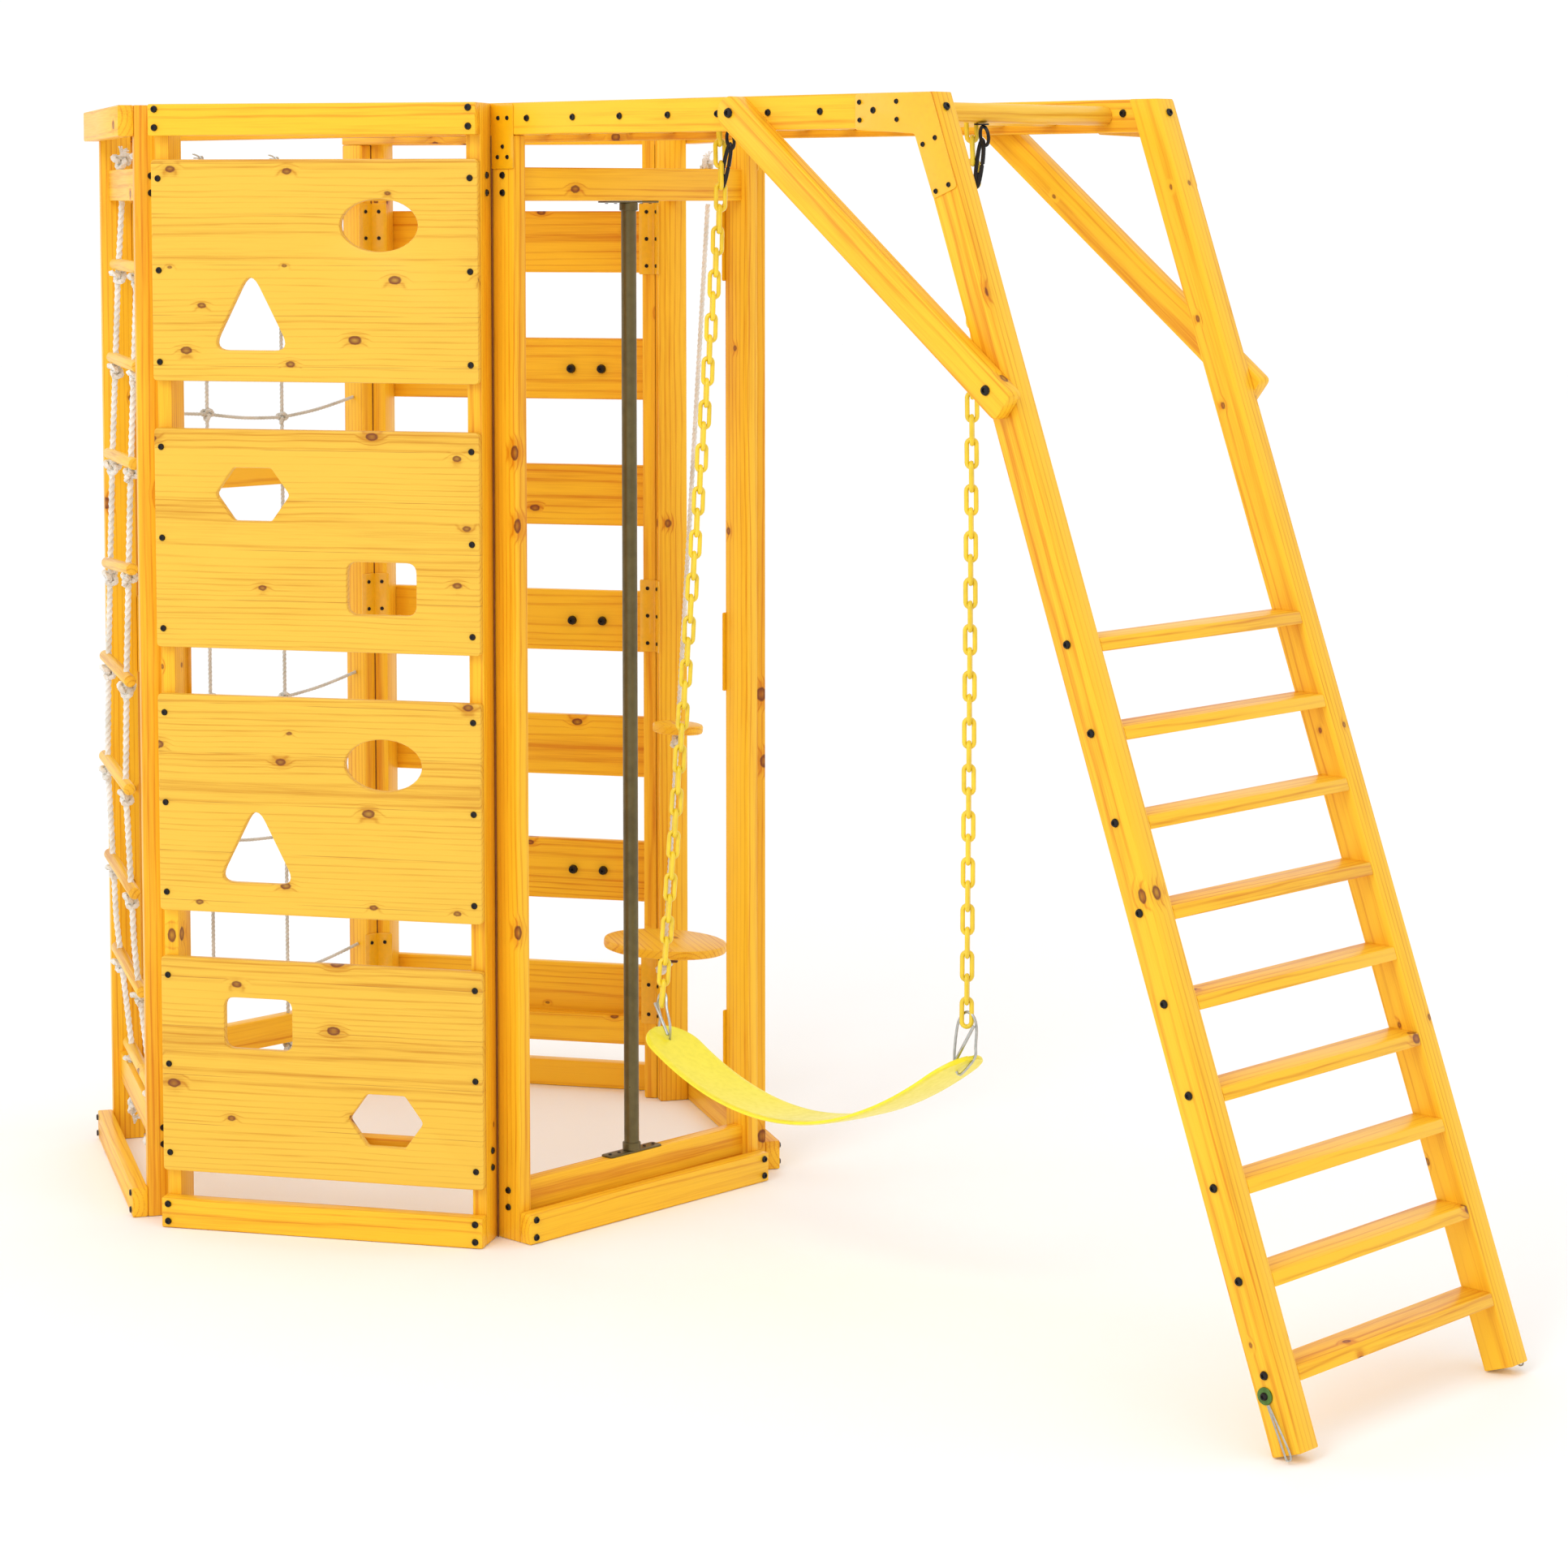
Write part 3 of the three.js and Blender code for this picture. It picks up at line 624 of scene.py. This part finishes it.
def make_fittings(kind, radius, height, socket):
    points, facings, sizes = zip(*fittings[kind])
    mesh = bpy.data.meshes.new(kind)
    mesh.from_pydata(in_frame(p + f * height / 2 for p, f in zip(points, facings)), [], [])
    facing = mesh.attributes.new("facing", "FLOAT_VECTOR", "POINT")
    facing.data.foreach_set("vector", [c for f in facings for c in f])
    size = mesh.attributes.new("size", "FLOAT", "POINT")
    size.data.foreach_set("value", sizes)
    FASTENERS.run(kind, mesh, BLACK_STEEL, Head_Radius=radius * MM, Head_Height=height * MM,
                  Socket_Share=socket)


# ---- the disc swing's rope
# It hangs from the middle of the open side's upper rail and leans into the tower.
OPEN_SIDE = side_place(3)
HANG = OPEN_SIDE @ Matrix.Translation((SIDE / 2, MIDDLE, UNDER_RAIL)) @ Matrix.Rotation(HANGING, 4, "X")
ROPE_TOP, ROPE_END = -6.0, -1500.0


def disc_rope():
    piece = Piece("disc_swing_rope")
    path = [(0, 0, ROPE_TOP + (ROPE_END - ROPE_TOP) * k / 15) for k in range(16)]
    piece.rope(path, 5.0, 32.0, place=HANG)
    made = piece.finish([ROPE_WHITE], "white_rope", ["disc_rope"], "disc_swing")
    route = in_frame(HANG @ Vector(p) for p in path)


disc_rope()


# ---- the tower's side frames
# each side's node, the height of its posts, and its lower rails; the tall ones carry a top board
SHORT_POST = BEAM_LOW - GAP
SIDE_FRAMES = {
    1: ("panel_side_frame", HEIGHT, (117,)),
    2: ("pole_side_frame", SHORT_POST, (44,)),
    3: ("open_side_frame", HEIGHT, ()),
    4: ("plank_side_frame", HEIGHT, (104,)),
    5: ("net_side_frame", SHORT_POST, (117, 1255)),
    6: ("rope_ladder_side_frame", HEIGHT, (117,)),
}


def side_frame(number, node, post_top, rails):
    place = side_place(number)
    piece = Piece(node + "_wood")
    piece.board((GAP, POST), (-DEPTH, 0), (0, post_top), True, place=place)
    piece.board((SIDE - POST, SIDE - GAP), (-DEPTH, 0), (0, post_top), True, place=place)
    wide, deep = (POST - 1, SIDE - POST + 1), (MIDDLE - BOARD / 2, MIDDLE + BOARD / 2)
    for low in (UPPER_RAIL, *rails):
        piece.board(wide, deep, (low, low + RAIL_HIGH), place=place)
        for up in (14, 44):
            fasten("bolts", (GAP, MIDDLE, low + up), (-1, 0, 0), 1.0, place)
            fasten("bolts", (SIDE - GAP, MIDDLE, low + up), (1, 0, 0), 1.0, place)
    boards = [(0, 54, (12, 43)), (BEAM_LOW, HEIGHT, (14, 46))][:2 if post_top == HEIGHT else 1]
    for low, high, ups in boards:
        piece.board((GAP, SIDE - GAP), (-DEPTH - BOARD, -DEPTH), (low, high), place=place)
        for up in ups:
            for x in (13, SIDE - 13) if number != 6 or low == 0 else ():
                fasten("bolts", (x, -DEPTH - BOARD, low + up), (0, -1, 0), 1.0, place)
    piece.finish([POST_PINE], "pine", [node])


def corner_shadow_strips():
    """Thin dark strips at the corners, standing where the posts of neighbouring frames press together: painted
    shadow for the narrow gap between them.
    """
    piece = Piece("corner_shadow_strips")
    spot = (-1.3, -2.25)
    for number in SIDE_FRAMES:
        piece.rod(1.7, (*spot, 0.2), (*spot, 1934), 0.2, 8, side_place(number))
    piece.finish([CORNER_SHADOW_PAINT])


for number, (node, post_top, rails) in SIDE_FRAMES.items():
    side_frame(number, node, post_top, rails)
# thin dark strips of painted shadow at the tower's six corners
corner_shadow_strips()


# ---- panels and planks
def oval(x, z, wide=142, high=91):
    turns = [2 * pi * k / 36 for k in range(36)]
    return [(x + wide / 2 * cos(a), z + high / 2 * sin(a)) for a in turns]


def square(x, z):
    return rounded(oblong((x - 63.5, x + 63.5), (z - 46, z + 46)), 19, 5)


def triangle(x, z):
    return rounded([(x - 73, z - 57.5), (x + 73, z - 57.5), (x, z + 85.5)], 19, 6)


def hexagon(x, z):
    flat = [(-69, 0), (-35, -46.5), (35, -46.5), (69, 0), (35, 46.5), (-35, 46.5)]
    return rounded([(x + a, z + b) for a, b in flat], 9, 3)


PANEL_CUTS = [
    ((square, 183), (hexagon, 420)),
    ((oval, 420), (triangle, 183)),
    ((hexagon, 183), (square, 420)),
    ((oval, 420), (triangle, 183)),
]
PANEL_SIDE = side_place(1)
PANEL_LOW, PANEL_PITCH, PANEL_HIGH = 101, 469, 386


def panels():
    for number, ((upper, upper_x), (lower, lower_x)) in enumerate(PANEL_CUTS):
        low = PANEL_LOW + PANEL_PITCH * number
        high, middle = low + PANEL_HIGH, low + PANEL_HIGH / 2
        cuts = [upper(upper_x, middle + 79), lower(lower_x, middle - 81)]
        outline = rounded(oblong((GAP, SIDE - GAP), (low, high)), 8, 4)
        piece = Piece(f"panel_board_{number + 1}")
        piece.slab(outline, FACE, FACE + SHEET, 3.5, PANEL_SIDE, cuts)
        piece.finish([PANEL_PINE], "panel_pine", [f"climbing_panel_{number + 1}"])
        for up in (-160, 0, 160):
            for x in (14, SIDE - 14):
                fasten("screws", (x, FACE, middle + up), (0, -1, 0), 1.6, PANEL_SIDE)


PLANK_SIDE = side_place(4)
PLANK_TOP, PLANK_PITCH, PLANK_HIGH = 1801, 257, 124
HOLD = [(0, 53), (4, 54.5), (12, 53), (22, 46), (31, 33), (37, 17), (39, 5)]  # its depth and half width


def planks():
    """Each has a climbing hold outside and the nuts of its bolts inside."""
    flatten = Matrix.Diagonal((1, 1, 30 / 54.5, 1))
    for number in range(7):
        top = PLANK_TOP - PLANK_PITCH * number
        hold_x, hold_z = (439, 161)[number % 2], top - PLANK_HIGH / 2
        piece = Piece(f"plank_{number + 1}")
        piece.board((GAP, SIDE - GAP), (FACE, FACE + SHEET), (top - PLANK_HIGH, top), place=PLANK_SIDE)
        seat = PLANK_SIDE @ Matrix.Translation((hold_x, FACE, hold_z)) @ flatten
        piece.turned(HOLD, (0, 0, 0), (0, -39, 0), 32, seat, 1)
        paints = [POST_PINE, HOLD_COLOURS[number % 3]]
        piece.finish(paints, "pine", [f"wall_plank_{number + 1}"])
        for x in (hold_x - 32, hold_x + 32):
            fasten("nuts", (x, -DEPTH - GAP, hold_z), (0, 1, 0), 1.0, PLANK_SIDE)
        for x in (14, SIDE - 14):
            for up in (-34, 34):
                fasten("screws", (x, FACE, hold_z + up), (0, -1, 0), 1.1, PLANK_SIDE)


panels()
planks()


# ---- overhead run and ladder
def front_x(z):
    """The ladder rails' outer edge at a height."""
    return 1534 + (HEIGHT - z) * tan(LEAN)


def back_x(z):
    return front_x(z) - 54 / cos(LEAN)


def beam_outline():
    low, high = back_x(BEAM_LOW) - GAP, back_x(HEIGHT) - GAP
    return [(BEAM_START, BEAM_LOW), (low, BEAM_LOW), (high, HEIGHT), (BEAM_START, HEIGHT)]


def rail_outline():
    foot = back_x(0)
    heel = (foot + 54 * cos(LEAN), 54 * sin(LEAN))
    return [(foot, 0), heel, (front_x(HEIGHT), HEIGHT), (back_x(HEIGHT), HEIGHT)]


def brace_outline():
    """Round at the upper end, with two eased corners at the lower one."""
    upper, lower = (Vector(end) for end in BRACE_ENDS)
    down = (lower - upper).normalized()
    across = Vector((-down.y, down.x)) * 27
    outline = []
    for k in range(13):
        angle = pi * k / 12
        outline.append(tuple(upper + across * cos(angle) - down * 27 * sin(angle)))
    end = lower + down * 42
    corners = (end - across, end + across, lower + across, lower - across)
    return outline + rounded([tuple(corner) for corner in corners], 10, 3)[:8]


def overhead_run(hand, way):
    """One side's beam, ladder rail and brace, with the bolts through them."""
    outer = HALF_TRACK * way
    brace = outer + (BOARD + GAP) * way
    boards = (
        ("beam", rounded(beam_outline(), 2.5), (outer, outer - BOARD * way), 0.0),
        ("ladder_rail", rounded(rail_outline(), 2.5), (outer, outer - 45 * way), pi / 2 + LEAN),
        ("brace", brace_outline(), (outer + GAP * way, brace), atan2(-427, 546)),
    )
    for name, outline, depths, turn in boards:
        piece = Piece(f"{name}_{hand}_wood")
        piece.slab(outline, *sorted(depths), turn=turn)
        piece.finish([POST_PINE], "pine", [f"{name}_{hand}"])
    for x, z in BRACE_ENDS:
        fasten("bolts", (x, brace, z), (0, way, 0), 1.35)
    for x in RUNGS_X:
        fasten("bolts", (x, outer, RUNG_Z), (0, way, 0), 0.95)
    for low in STEPS_Z:
        z = low + 12
        fasten("bolts", ((front_x(z) + back_x(z)) / 2, outer, z), (0, way, 0), 1.1)
    fasten("bolts", (front_x(1967) + 0.2, 278 * way, 1967), (cos(LEAN), 0, sin(LEAN)), 1.1)
    fasten("bolts", (1452, 272 * way, 1967), (0, -way, 0), 1.1)


def rungs_and_steps():
    half_rung, half_step = 271.7, 254.7
    for number, x in enumerate(RUNGS_X, 1):
        piece = Piece(f"rung_{number}")
        piece.rod(16, (x, -half_rung, RUNG_Z), (x, half_rung, RUNG_Z), 1.0, 32)
        piece.finish([RUNG_PINE], "rung_pine", [f"monkey_rung_{number}"])
    for number, low in enumerate(STEPS_Z, 1):
        high = low + STEP_THICK
        outline = [(back_x(low), low), (front_x(low), low), (front_x(high), high), (back_x(high), high)]
        piece = Piece(f"step_{number}")
        piece.slab(rounded(outline, 3.0), -half_step, half_step, 2.0)
        # its grain runs along Y, from a place of its own
        start = 7.3 * (number - 1)
        piece.grain = [(start + y * MM, (x - back_x(z)) * MM, (z - low) * MM) for x, y, z in piece.points]
        piece.finish([POST_PINE], "pine", [f"ladder_step_{number}"])


overhead_run("near", -1)
overhead_run("far", 1)
rungs_and_steps()


# ---- the pole
POLE_SIDE = side_place(2)
POLE_FOOT, POLE_RADIUS, FLANGE, COLLAR = 102.3, 13.5, 3, 14


def pole():
    """A tube with a screwed flange and a collar at each end."""
    piece = Piece("pole")

    def at(height):
        return SIDE / 2, MIDDLE, height

    tube = [(0, POLE_RADIUS), (UNDER_RAIL - POLE_FOOT, POLE_RADIUS)]
    piece.turned(tube, at(POLE_FOOT), at(UNDER_RAIL), 36, POLE_SIDE)
    near, far = -MIDDLE - POLE_RADIUS, -MIDDLE + POLE_RADIUS
    plan = rounded(oblong((235, 365), (near, far)), 6, 3)
    sleeve = [(0, 15.5), (1, 16.5), (COLLAR - 1, 16.5), (COLLAR, 15.5)]
    top = UNDER_RAIL - FLANGE
    for low, collar, seat, facing in ((POLE_FOOT, POLE_FOOT + FLANGE, POLE_FOOT + FLANGE, 1),
                                      (top, top - COLLAR, top, -1)):
        piece.slab(plan, low, low + FLANGE, 0.6, POLE_SIDE @ LYING)
        piece.turned(sleeve, at(collar), at(collar + COLLAR), 32, POLE_SIDE)
        for x in (246, 268, 332, 354):
            fasten("screws", (x, MIDDLE, seat), (0, 0, facing), 0.9, POLE_SIDE)
    piece.finish([BRONZE], "bronze_steel", ["fireman_pole"])


pole()


# ---- the rope ladder
LADDER_SIDE = side_place(6)
OVER_RAIL = 175.3  # the top of the lower rail
ROPE_LINE = [(UNDER_RAIL, 29), (1680, 38), (1320, 54), (950, 66), (750, 70), (450, 58), (OVER_RAIL, 29)]
LADDER_ROPES = (125, 435)
# each rung's height, and how far its ends differ
LADDER_RUNGS = [(1702, 0), (1525, 0), (1346, 8), (1146, 28), (955, 4), (760, 0), (569, 0), (387, 0), (200, 0)]


def ladder_depth(z):
    rows = sorted(ROPE_LINE)
    return -float(np.interp(z, [r[0] for r in rows], [r[1] for r in rows]))


def frayed_end(piece, top, radius, place, lean=(1, 0.2)):
    """A short cut end above a knot, with its strands opening."""
    base = Vector(top)
    for k in range(7):
        angle = 2.4 * k
        out = (lean[0] * 26 + 9 * cos(angle), lean[1] * 20 + 9 * sin(angle))
        tip = Vector((*out, 12 + 4 * (k % 3)))
        piece.rope([base, base + tip * 0.5 + Vector((0, 0, 5)), base + tip], radius * 0.3, 12.0, 2, place)


def rope_ladder():
    ropes, rungs = Piece("rope_ladder_ropes"), Piece("rope_ladder_rungs")
    for x in LADDER_ROPES:
        path = [(x, ladder_depth(z), z) for z in np.linspace(UNDER_RAIL, OVER_RAIL, 24)]
        ropes.rope(path, 6.0, 40.0, place=LADDER_SIDE)
        for heights, knot, fray, lean in (((1880, 1884, 1889), 1897, 1904, (-1, 0.4)),
                                          ((117, 108, 100), 92, 54, (0.2, 0.1))):
            ropes.rope([(x, MIDDLE, z) for z in heights], 6.0, 40.0, place=LADDER_SIDE)
            ropes.knot((x, MIDDLE, knot), 6.0, LADDER_SIDE)
            frayed_end(ropes, (x, MIDDLE, fray), 6.0, LADDER_SIDE, lean)
    for z, tilt in LADDER_RUNGS:
        ends = [(x, ladder_depth(z), z + rise) for x, rise in ((65, -tilt / 2), (495, tilt / 2))]
        rungs.rod(11, *ends, 2.0, 28, LADDER_SIDE)
        for x, rise in zip(LADDER_ROPES, (-tilt / 2, tilt / 2)):
            ropes.knot((x, ladder_depth(z), z + rise - 21), 5.6, LADDER_SIDE)
    ropes.finish([ROPE_WHITE], "white_rope", ["rope_ladder"])
    rungs.finish([RUNG_PINE], "rung_pine")


rope_ladder()


# ---- the climbing net
NET_SIDE = side_place(5)


def climbing_net():
    net = Piece("net_ropes")
    for x in (213, 400):
        for high, low in ((UNDER_RAIL, 1313), (1313, 1255), (1255, OVER_RAIL)):
            net.rope([(x, MIDDLE, high), (x, MIDDLE, low)], 4.0, 26.0, place=NET_SIDE)
        net.knot((x, MIDDLE, 1887), 4.6, NET_SIDE)
        frayed_end(net, (x, MIDDLE, 1893), 4.6, NET_SIDE, (0.8, 0.3))
        net.knot((x, MIDDLE, 108), 4.6, NET_SIDE)
    for row in range(5):
        z = 290 + 283 * row
        knots = [(213, MIDDLE, z - 34), (400, MIDDLE, z - 20)]
        stops = [(28.2, MIDDLE, z), *knots, (SIDE - 28.2, MIDDLE, z)]
        for first, second in zip(stops, stops[1:]):
            middle = [(a + b) / 2 for a, b in zip(first, second)]
            middle[2] -= 4
            net.rope([first, middle, second], 3.6, 24.0, place=NET_SIDE)
        for spot in knots:
            net.knot(spot, 4.2, NET_SIDE)
        for x in (-4, SIDE + 4):
            net.knot((x, MIDDLE, z), 4.0, NET_SIDE)
    net.finish([ROPE_GREY], "white_rope", ["climbing_net"])


climbing_net()


# ---- the disc swing
def disc_swing():
    ring = [2 * pi * k / 56 for k in range(56)]
    bore = [(6 * cos(a), 6 * sin(a)) for a in ring[::4]]
    block = rounded(oblong((-41, 41), (-17, 17)), 4, 3)
    for name, radius, top in (("small_disc", 49, -1012), ("large_disc", 120, -1436)):
        piece = Piece(name + "_wood")
        outline = [(radius * cos(a), radius * sin(a)) for a in ring]
        piece.slab(outline, top - SHEET, top, 5.0, HANG @ LYING, [bore])
        if name == "large_disc":
            piece.slab(block, top - SHEET - 20, top - SHEET, 2.5, HANG @ LYING, [bore], paint=1)
        piece.finish([POST_PINE, DARK_WOOD], "pine", [name], "disc_swing")
    knots = Piece("disc_swing_knots")
    knots.knot((0, 0, -1046), 5.0, HANG)
    knots.knot((0, 0, -1489), 5.4, HANG)
    knots.finish([ROPE_WHITE], "white_rope", (), "disc_swing")
    top = Piece("disc_swing_top_knot")
    above = OPEN_SIDE @ Matrix.Translation((SIDE / 2, MIDDLE, 0))
    top.knot((0, 0, 1890), 5.6, above)
    frayed_end(top, (0, 0, 1897), 5.0, above, (0.9, -0.3))
    top.finish([ROPE_WHITE], "white_rope")


disc_swing()


# ---- the belt swing
SWING = Matrix.Translation((0, *SWING_PIVOT)) @ Matrix.Rotation(-HANGING, 4, "X")
BELT_SAG, BELT_HALF, BELT_ROUNDING = 130, 59, 44
# for each hand: the way in, the hook's x and tilt, the belt's end and slope, and the chain's foot
SWING_HANDS = {
    "left": (1, 840.5, -0.2, (768, 386), -0.62, (771.5, 444)),
    "right": (-1, 1413, -0.1, (1480, 448), 0.8, (1467.5, 516)),
}


def below(z):
    return z - SWING_PIVOT[1]


def belt_seat():
    """A wide flexible belt that hangs in a curve, rounded at both ends."""
    (x0, z0), (x1, z1) = (hand[3] for hand in SWING_HANDS.values())
    steps, across = 72, 20
    points, grain, faces = [], [], []
    for k in range(steps + 1):
        part = 0.5 - 0.5 * cos(pi * k / steps)
        part = part * 0.55 + 0.45 * k / steps
        x = x0 + (x1 - x0) * part
        centre = Vector((x, 0, below(z0 + (z1 - z0) * part - BELT_SAG * 4 * part * (1 - part))))
        slope = ((z1 - z0) - BELT_SAG * 4 * (1 - 2 * part)) / (x1 - x0)
        normal = Vector((-slope, 0, 1)).normalized()
        inward = min(1.0, (min(x - x0, x1 - x) + 1.2) / (BELT_ROUNDING + 1.2))
        half = BELT_HALF * sqrt(max(0.02, 1 - (1 - inward) ** 2))
        for side in (1, -1):
            for j in range(across + 1):
                y = -half + 2 * half * j / across
                rim = max(0.0, abs(y) - half + 7) / 7
                lift = normal * (side * 3.3 * (1 + 1.2 * rim * (1 - rim) - 0.45 * rim**4) - 3.4)
                cup = Vector((0, 0, 0.0007 * y * y))
                points.append(tuple(centre + lift + cup + Vector((0, y * side, 0))))
                grain.append((k * 0.01, j * 0.01, side))
    ring = 2 * (across + 1)
    for k in range(steps):
        for j in range(ring):
            n = (j + 1) % ring
            low, high = k * ring, (k + 1) * ring
            faces.append((low + j, high + j, high + n, low + n))
    faces.append(tuple(range(ring)))
    faces.append(tuple(range(steps * ring, (steps + 1) * ring))[::-1])
    piece = Piece("belt")
    piece.add(points, faces, SWING, grain, True)
    piece.finish([BELT_YELLOW], "yellow_plastic", ["belt_seat"], "swing_seat")


def ring_path(centre, half_wide, half_high, tilt):
    """An upright oval, facing along Y."""
    path = []
    for k in range(24):
        a = 2 * pi * k / 24
        u, w = half_wide * cos(a), half_high * sin(a)
        turned = (u * cos(tilt) - w * sin(tilt), 0, u * sin(tilt) + w * cos(tilt))
        path.append([c + o for c, o in zip(centre, turned)])
    return path


def swing_hardware():
    seat_links, hooks, straps = Piece("seat_links"), Piece("snap_hooks_steel"), Piece("rung_straps")
    for hand, (way, hook_x, tilt, (end_x, end_z), slope, (foot_x, foot_z)) in SWING_HANDS.items():
        # the chain, with a short tail past the hook
        foot, turn = Vector((foot_x, 0, below(foot_z))), Vector((hook_x - 7, 0, below(1848)))
        line = [SWING @ foot, SWING @ turn, SWING @ (turn + Vector((-11, 0, 92)))]
        mesh = bpy.data.meshes.new("line")
        mesh.from_pydata(in_frame(line), [(0, 1), (1, 2)], [])
        CHAIN.run("chain_" + hand, mesh, CHAIN_YELLOW, "yellow_chain", ["swing_chain_" + hand], "swing_chains",
                  Link_Length=0.053, Link_Width=0.0235, Wire=0.008, Pitch=0.037)

        # a wire link through the belt near its end, with a second strand across it
        tip = Vector((end_x, 0, below(end_z)))
        hole = tip + Vector((way * 27, 0, 27 * way * slope))
        bends = ((hole, 3, -4, 3), (hole, 3, -6, 26), (foot, 15, -4, -22), (foot, 9, 0, -5), (foot, 0, 2, 1),
                 (foot, -12, 4, -6), (foot, -17, 6, -24), (tip, -5, 5, 16), (tip, -6, 4, 0), (tip, 3, 2, -15),
                 (hole, -6, 0, -12), (hole, 1, -2, -6))
        outline = [spot + Vector((way * x, y, z)) for spot, x, y, z in bends]
        seat_links.rope(outline, 2.7, 900, 1, SWING, True, 3.0)
        strand = (foot + Vector((way * -17, -1, -19)), hole + Vector((way, -7, 6)))
        seat_links.rod(2.7, *strand, 0.8, 12, SWING)

        # the snap hook, and the loop it hangs from under a rung
        hooks.rope(ring_path((hook_x + 2, 0, below(1882)), 6, 38, tilt), 4.0, 900, 1, SWING, True, 2.5)
        sleeve = ((hook_x - 4, 0, below(1852)), (hook_x - 2, 0, below(1868)))
        hooks.turned([(0, 5.2), (16, 5.2)], *sleeve, 16, SWING)
        y, z = SWING_PIVOT
        straps.rope(ring_path((hook_x + 10, y, z), 8, 15, 0.25), 3.4, 900, 1, None, True, 2.5)
        straps.turned([(0, 12), (2.5, 12)], (hook_x + 4, y, z + 17.5), (hook_x + 4, y, z + 22), 20)
    seat_links.finish([BRIGHT_ZINC], None, (), "swing_seat")
    hooks.finish([BLACK_STEEL], "black_steel", ["snap_hook_left", "snap_hook_right"], "swing_chains")
    straps.finish([BLACK_STEEL])


belt_seat()
swing_hardware()


# ---- yellow plates
def corner_plates():
    piece = Piece("corner_plates")
    for way in (-1, 1):
        outer = HALF_TRACK * way
        face = outer + 2.2 * way
        outline = [(1375, 1933), (1499, 1926), (1539, 1825), (1586, 1843), (front_x(1989) - 2, 1989),
                   (1375, 1989)]
        piece.slab(rounded(outline, 6, 3), *sorted((outer + 0.2 * way, face)), 0.5)
        for x, z in ((1384, 1976), (1385, 1948), (1462, 1976), (1463, 1948), (1542, 1919), (1517, 1909),
                     (1570, 1847), (1544, 1837)):
            fasten("screws", (x, face, z), (0, way, 0), 1.15)
    for number in (2, 5):
        place = side_place(number)
        for x, way in ((-0.4, -1), (SIDE + 0.4, 1)):
            quarter = place @ Matrix.Translation((x, 0, 0)) @ Matrix.Rotation(pi / 2, 4, "Z")
            outline = rounded(oblong((-58, -1), (1877, 1988)), 5, 3)
            piece.slab(outline, *sorted((0.0, -2.0 * way)), 0.4, quarter)
            for y, z in ((-44, 1964), (-21, 1964), (-32, 1915), (-44, 1897), (-19, 1897)):
                fasten("screws", (x + 2.0 * way, y, z), (way, 0, 0), 1.1, place)
    for number in range(1, 7):
        place = side_place(number)
        for low, high in ((1675, 1817), (915, 1061), (154, 314)):
            for x in (17, SIDE - 17):
                outline = rounded(oblong((x - 16, x + 16), (low, high)), 3, 3)
                piece.slab(outline, GAP, GAP + 2, 0.5, place)
                for part in (0.12, 0.5, 0.88):
                    fasten("screws", (x, 2.3, low + (high - low) * part), (0, 1, 0), 1.1, place)
    piece.finish([PLATE_YELLOW])


corner_plates()


# ---- ground anchors
def ground_anchors():
    """A washer and a wire loop, for a peg, at each foot of the ladder."""
    cable, washers = Piece("anchor_cables"), Piece("anchor_washers")
    x, z = 2188, 90
    bends = ((x + 6, 3, z - 12), (x + 22, 5, z - 42), (2226, 6, 16), (2232, 6, 6), (2238, 6, 14),
             (x + 30, 7, z - 40), (x + 10, 6, z - 10))
    for way in (-1, 1):
        outer = HALF_TRACK * way
        start, end = (x, outer, z), (x, outer + 3 * way, z)
        washers.turned([(0, 12.5), (0.4, 13), (2.6, 13), (3, 12.5)], start, end, 28)
        fasten("bolts", end, (0, way, 0), 1.0)
        cable.rope([(along, outer + out * way, up) for along, out, up in bends], 1.6, 14.0, 6)
    cable.finish([BRIGHT_ZINC])
    washers.finish([GREEN_ZINC])


ground_anchors()
make_fittings("bolts", 6.2, 2.6, 0.55)
make_fittings("screws", 3.6, 1.4, 0.5)
make_fittings("nuts", 9.5, 8.0, 0.4)


# ---- floor, light and sky
def studio():
    floor = Finish("floor_white", (0.985, 0.985, 0.985), 0.7)
    mottle = floor.noise(floor.object_place(), 0.4)
    floor.set("Roughness", 0.65 + mottle * 0.1)
    mesh = bpy.data.meshes.new("floor")
    mesh.from_pydata([(-30, -30, 0), (30, -30, 0), (30, 30, 0), (-30, 30, 0)], [], [(0, 1, 2, 3)])
    mesh.materials.append(floor.material)
    ground = add_to_scene("floor", mesh)
    ground.location.z = -0.0005

    world = bpy.data.worlds.new("studio")
    world.use_nodes = True
    sky = Wiring(world.node_tree)
    background = next(n for n in world.node_tree.nodes if n.type == "BACKGROUND")
    sky.feed(background.inputs["Color"], (1.0, 1.0, 1.0, 1))
    sky.feed(background.inputs["Strength"], 1.03)
    bpy.context.scene.world = world

    def lamp(name, spot, target, size, power):
        light = bpy.data.lights.new(name, "AREA")
        light.size = size
        light.energy = power
        made = add_to_scene(name, light)
        made.location = spot
        made.rotation_euler = (Vector(target) - Vector(spot)).to_track_quat("-Z", "Y").to_euler()

    lamp("key", (1.5, -6.5, 6.0), (0, 0, 0.9), 3.0, 140)
    lamp("fill", (-6.0, -4.0, 3.5), (0, 0, 1.0), 4.0, 25)
    bpy.context.scene.view_settings.view_transform = "Standard"


studio()
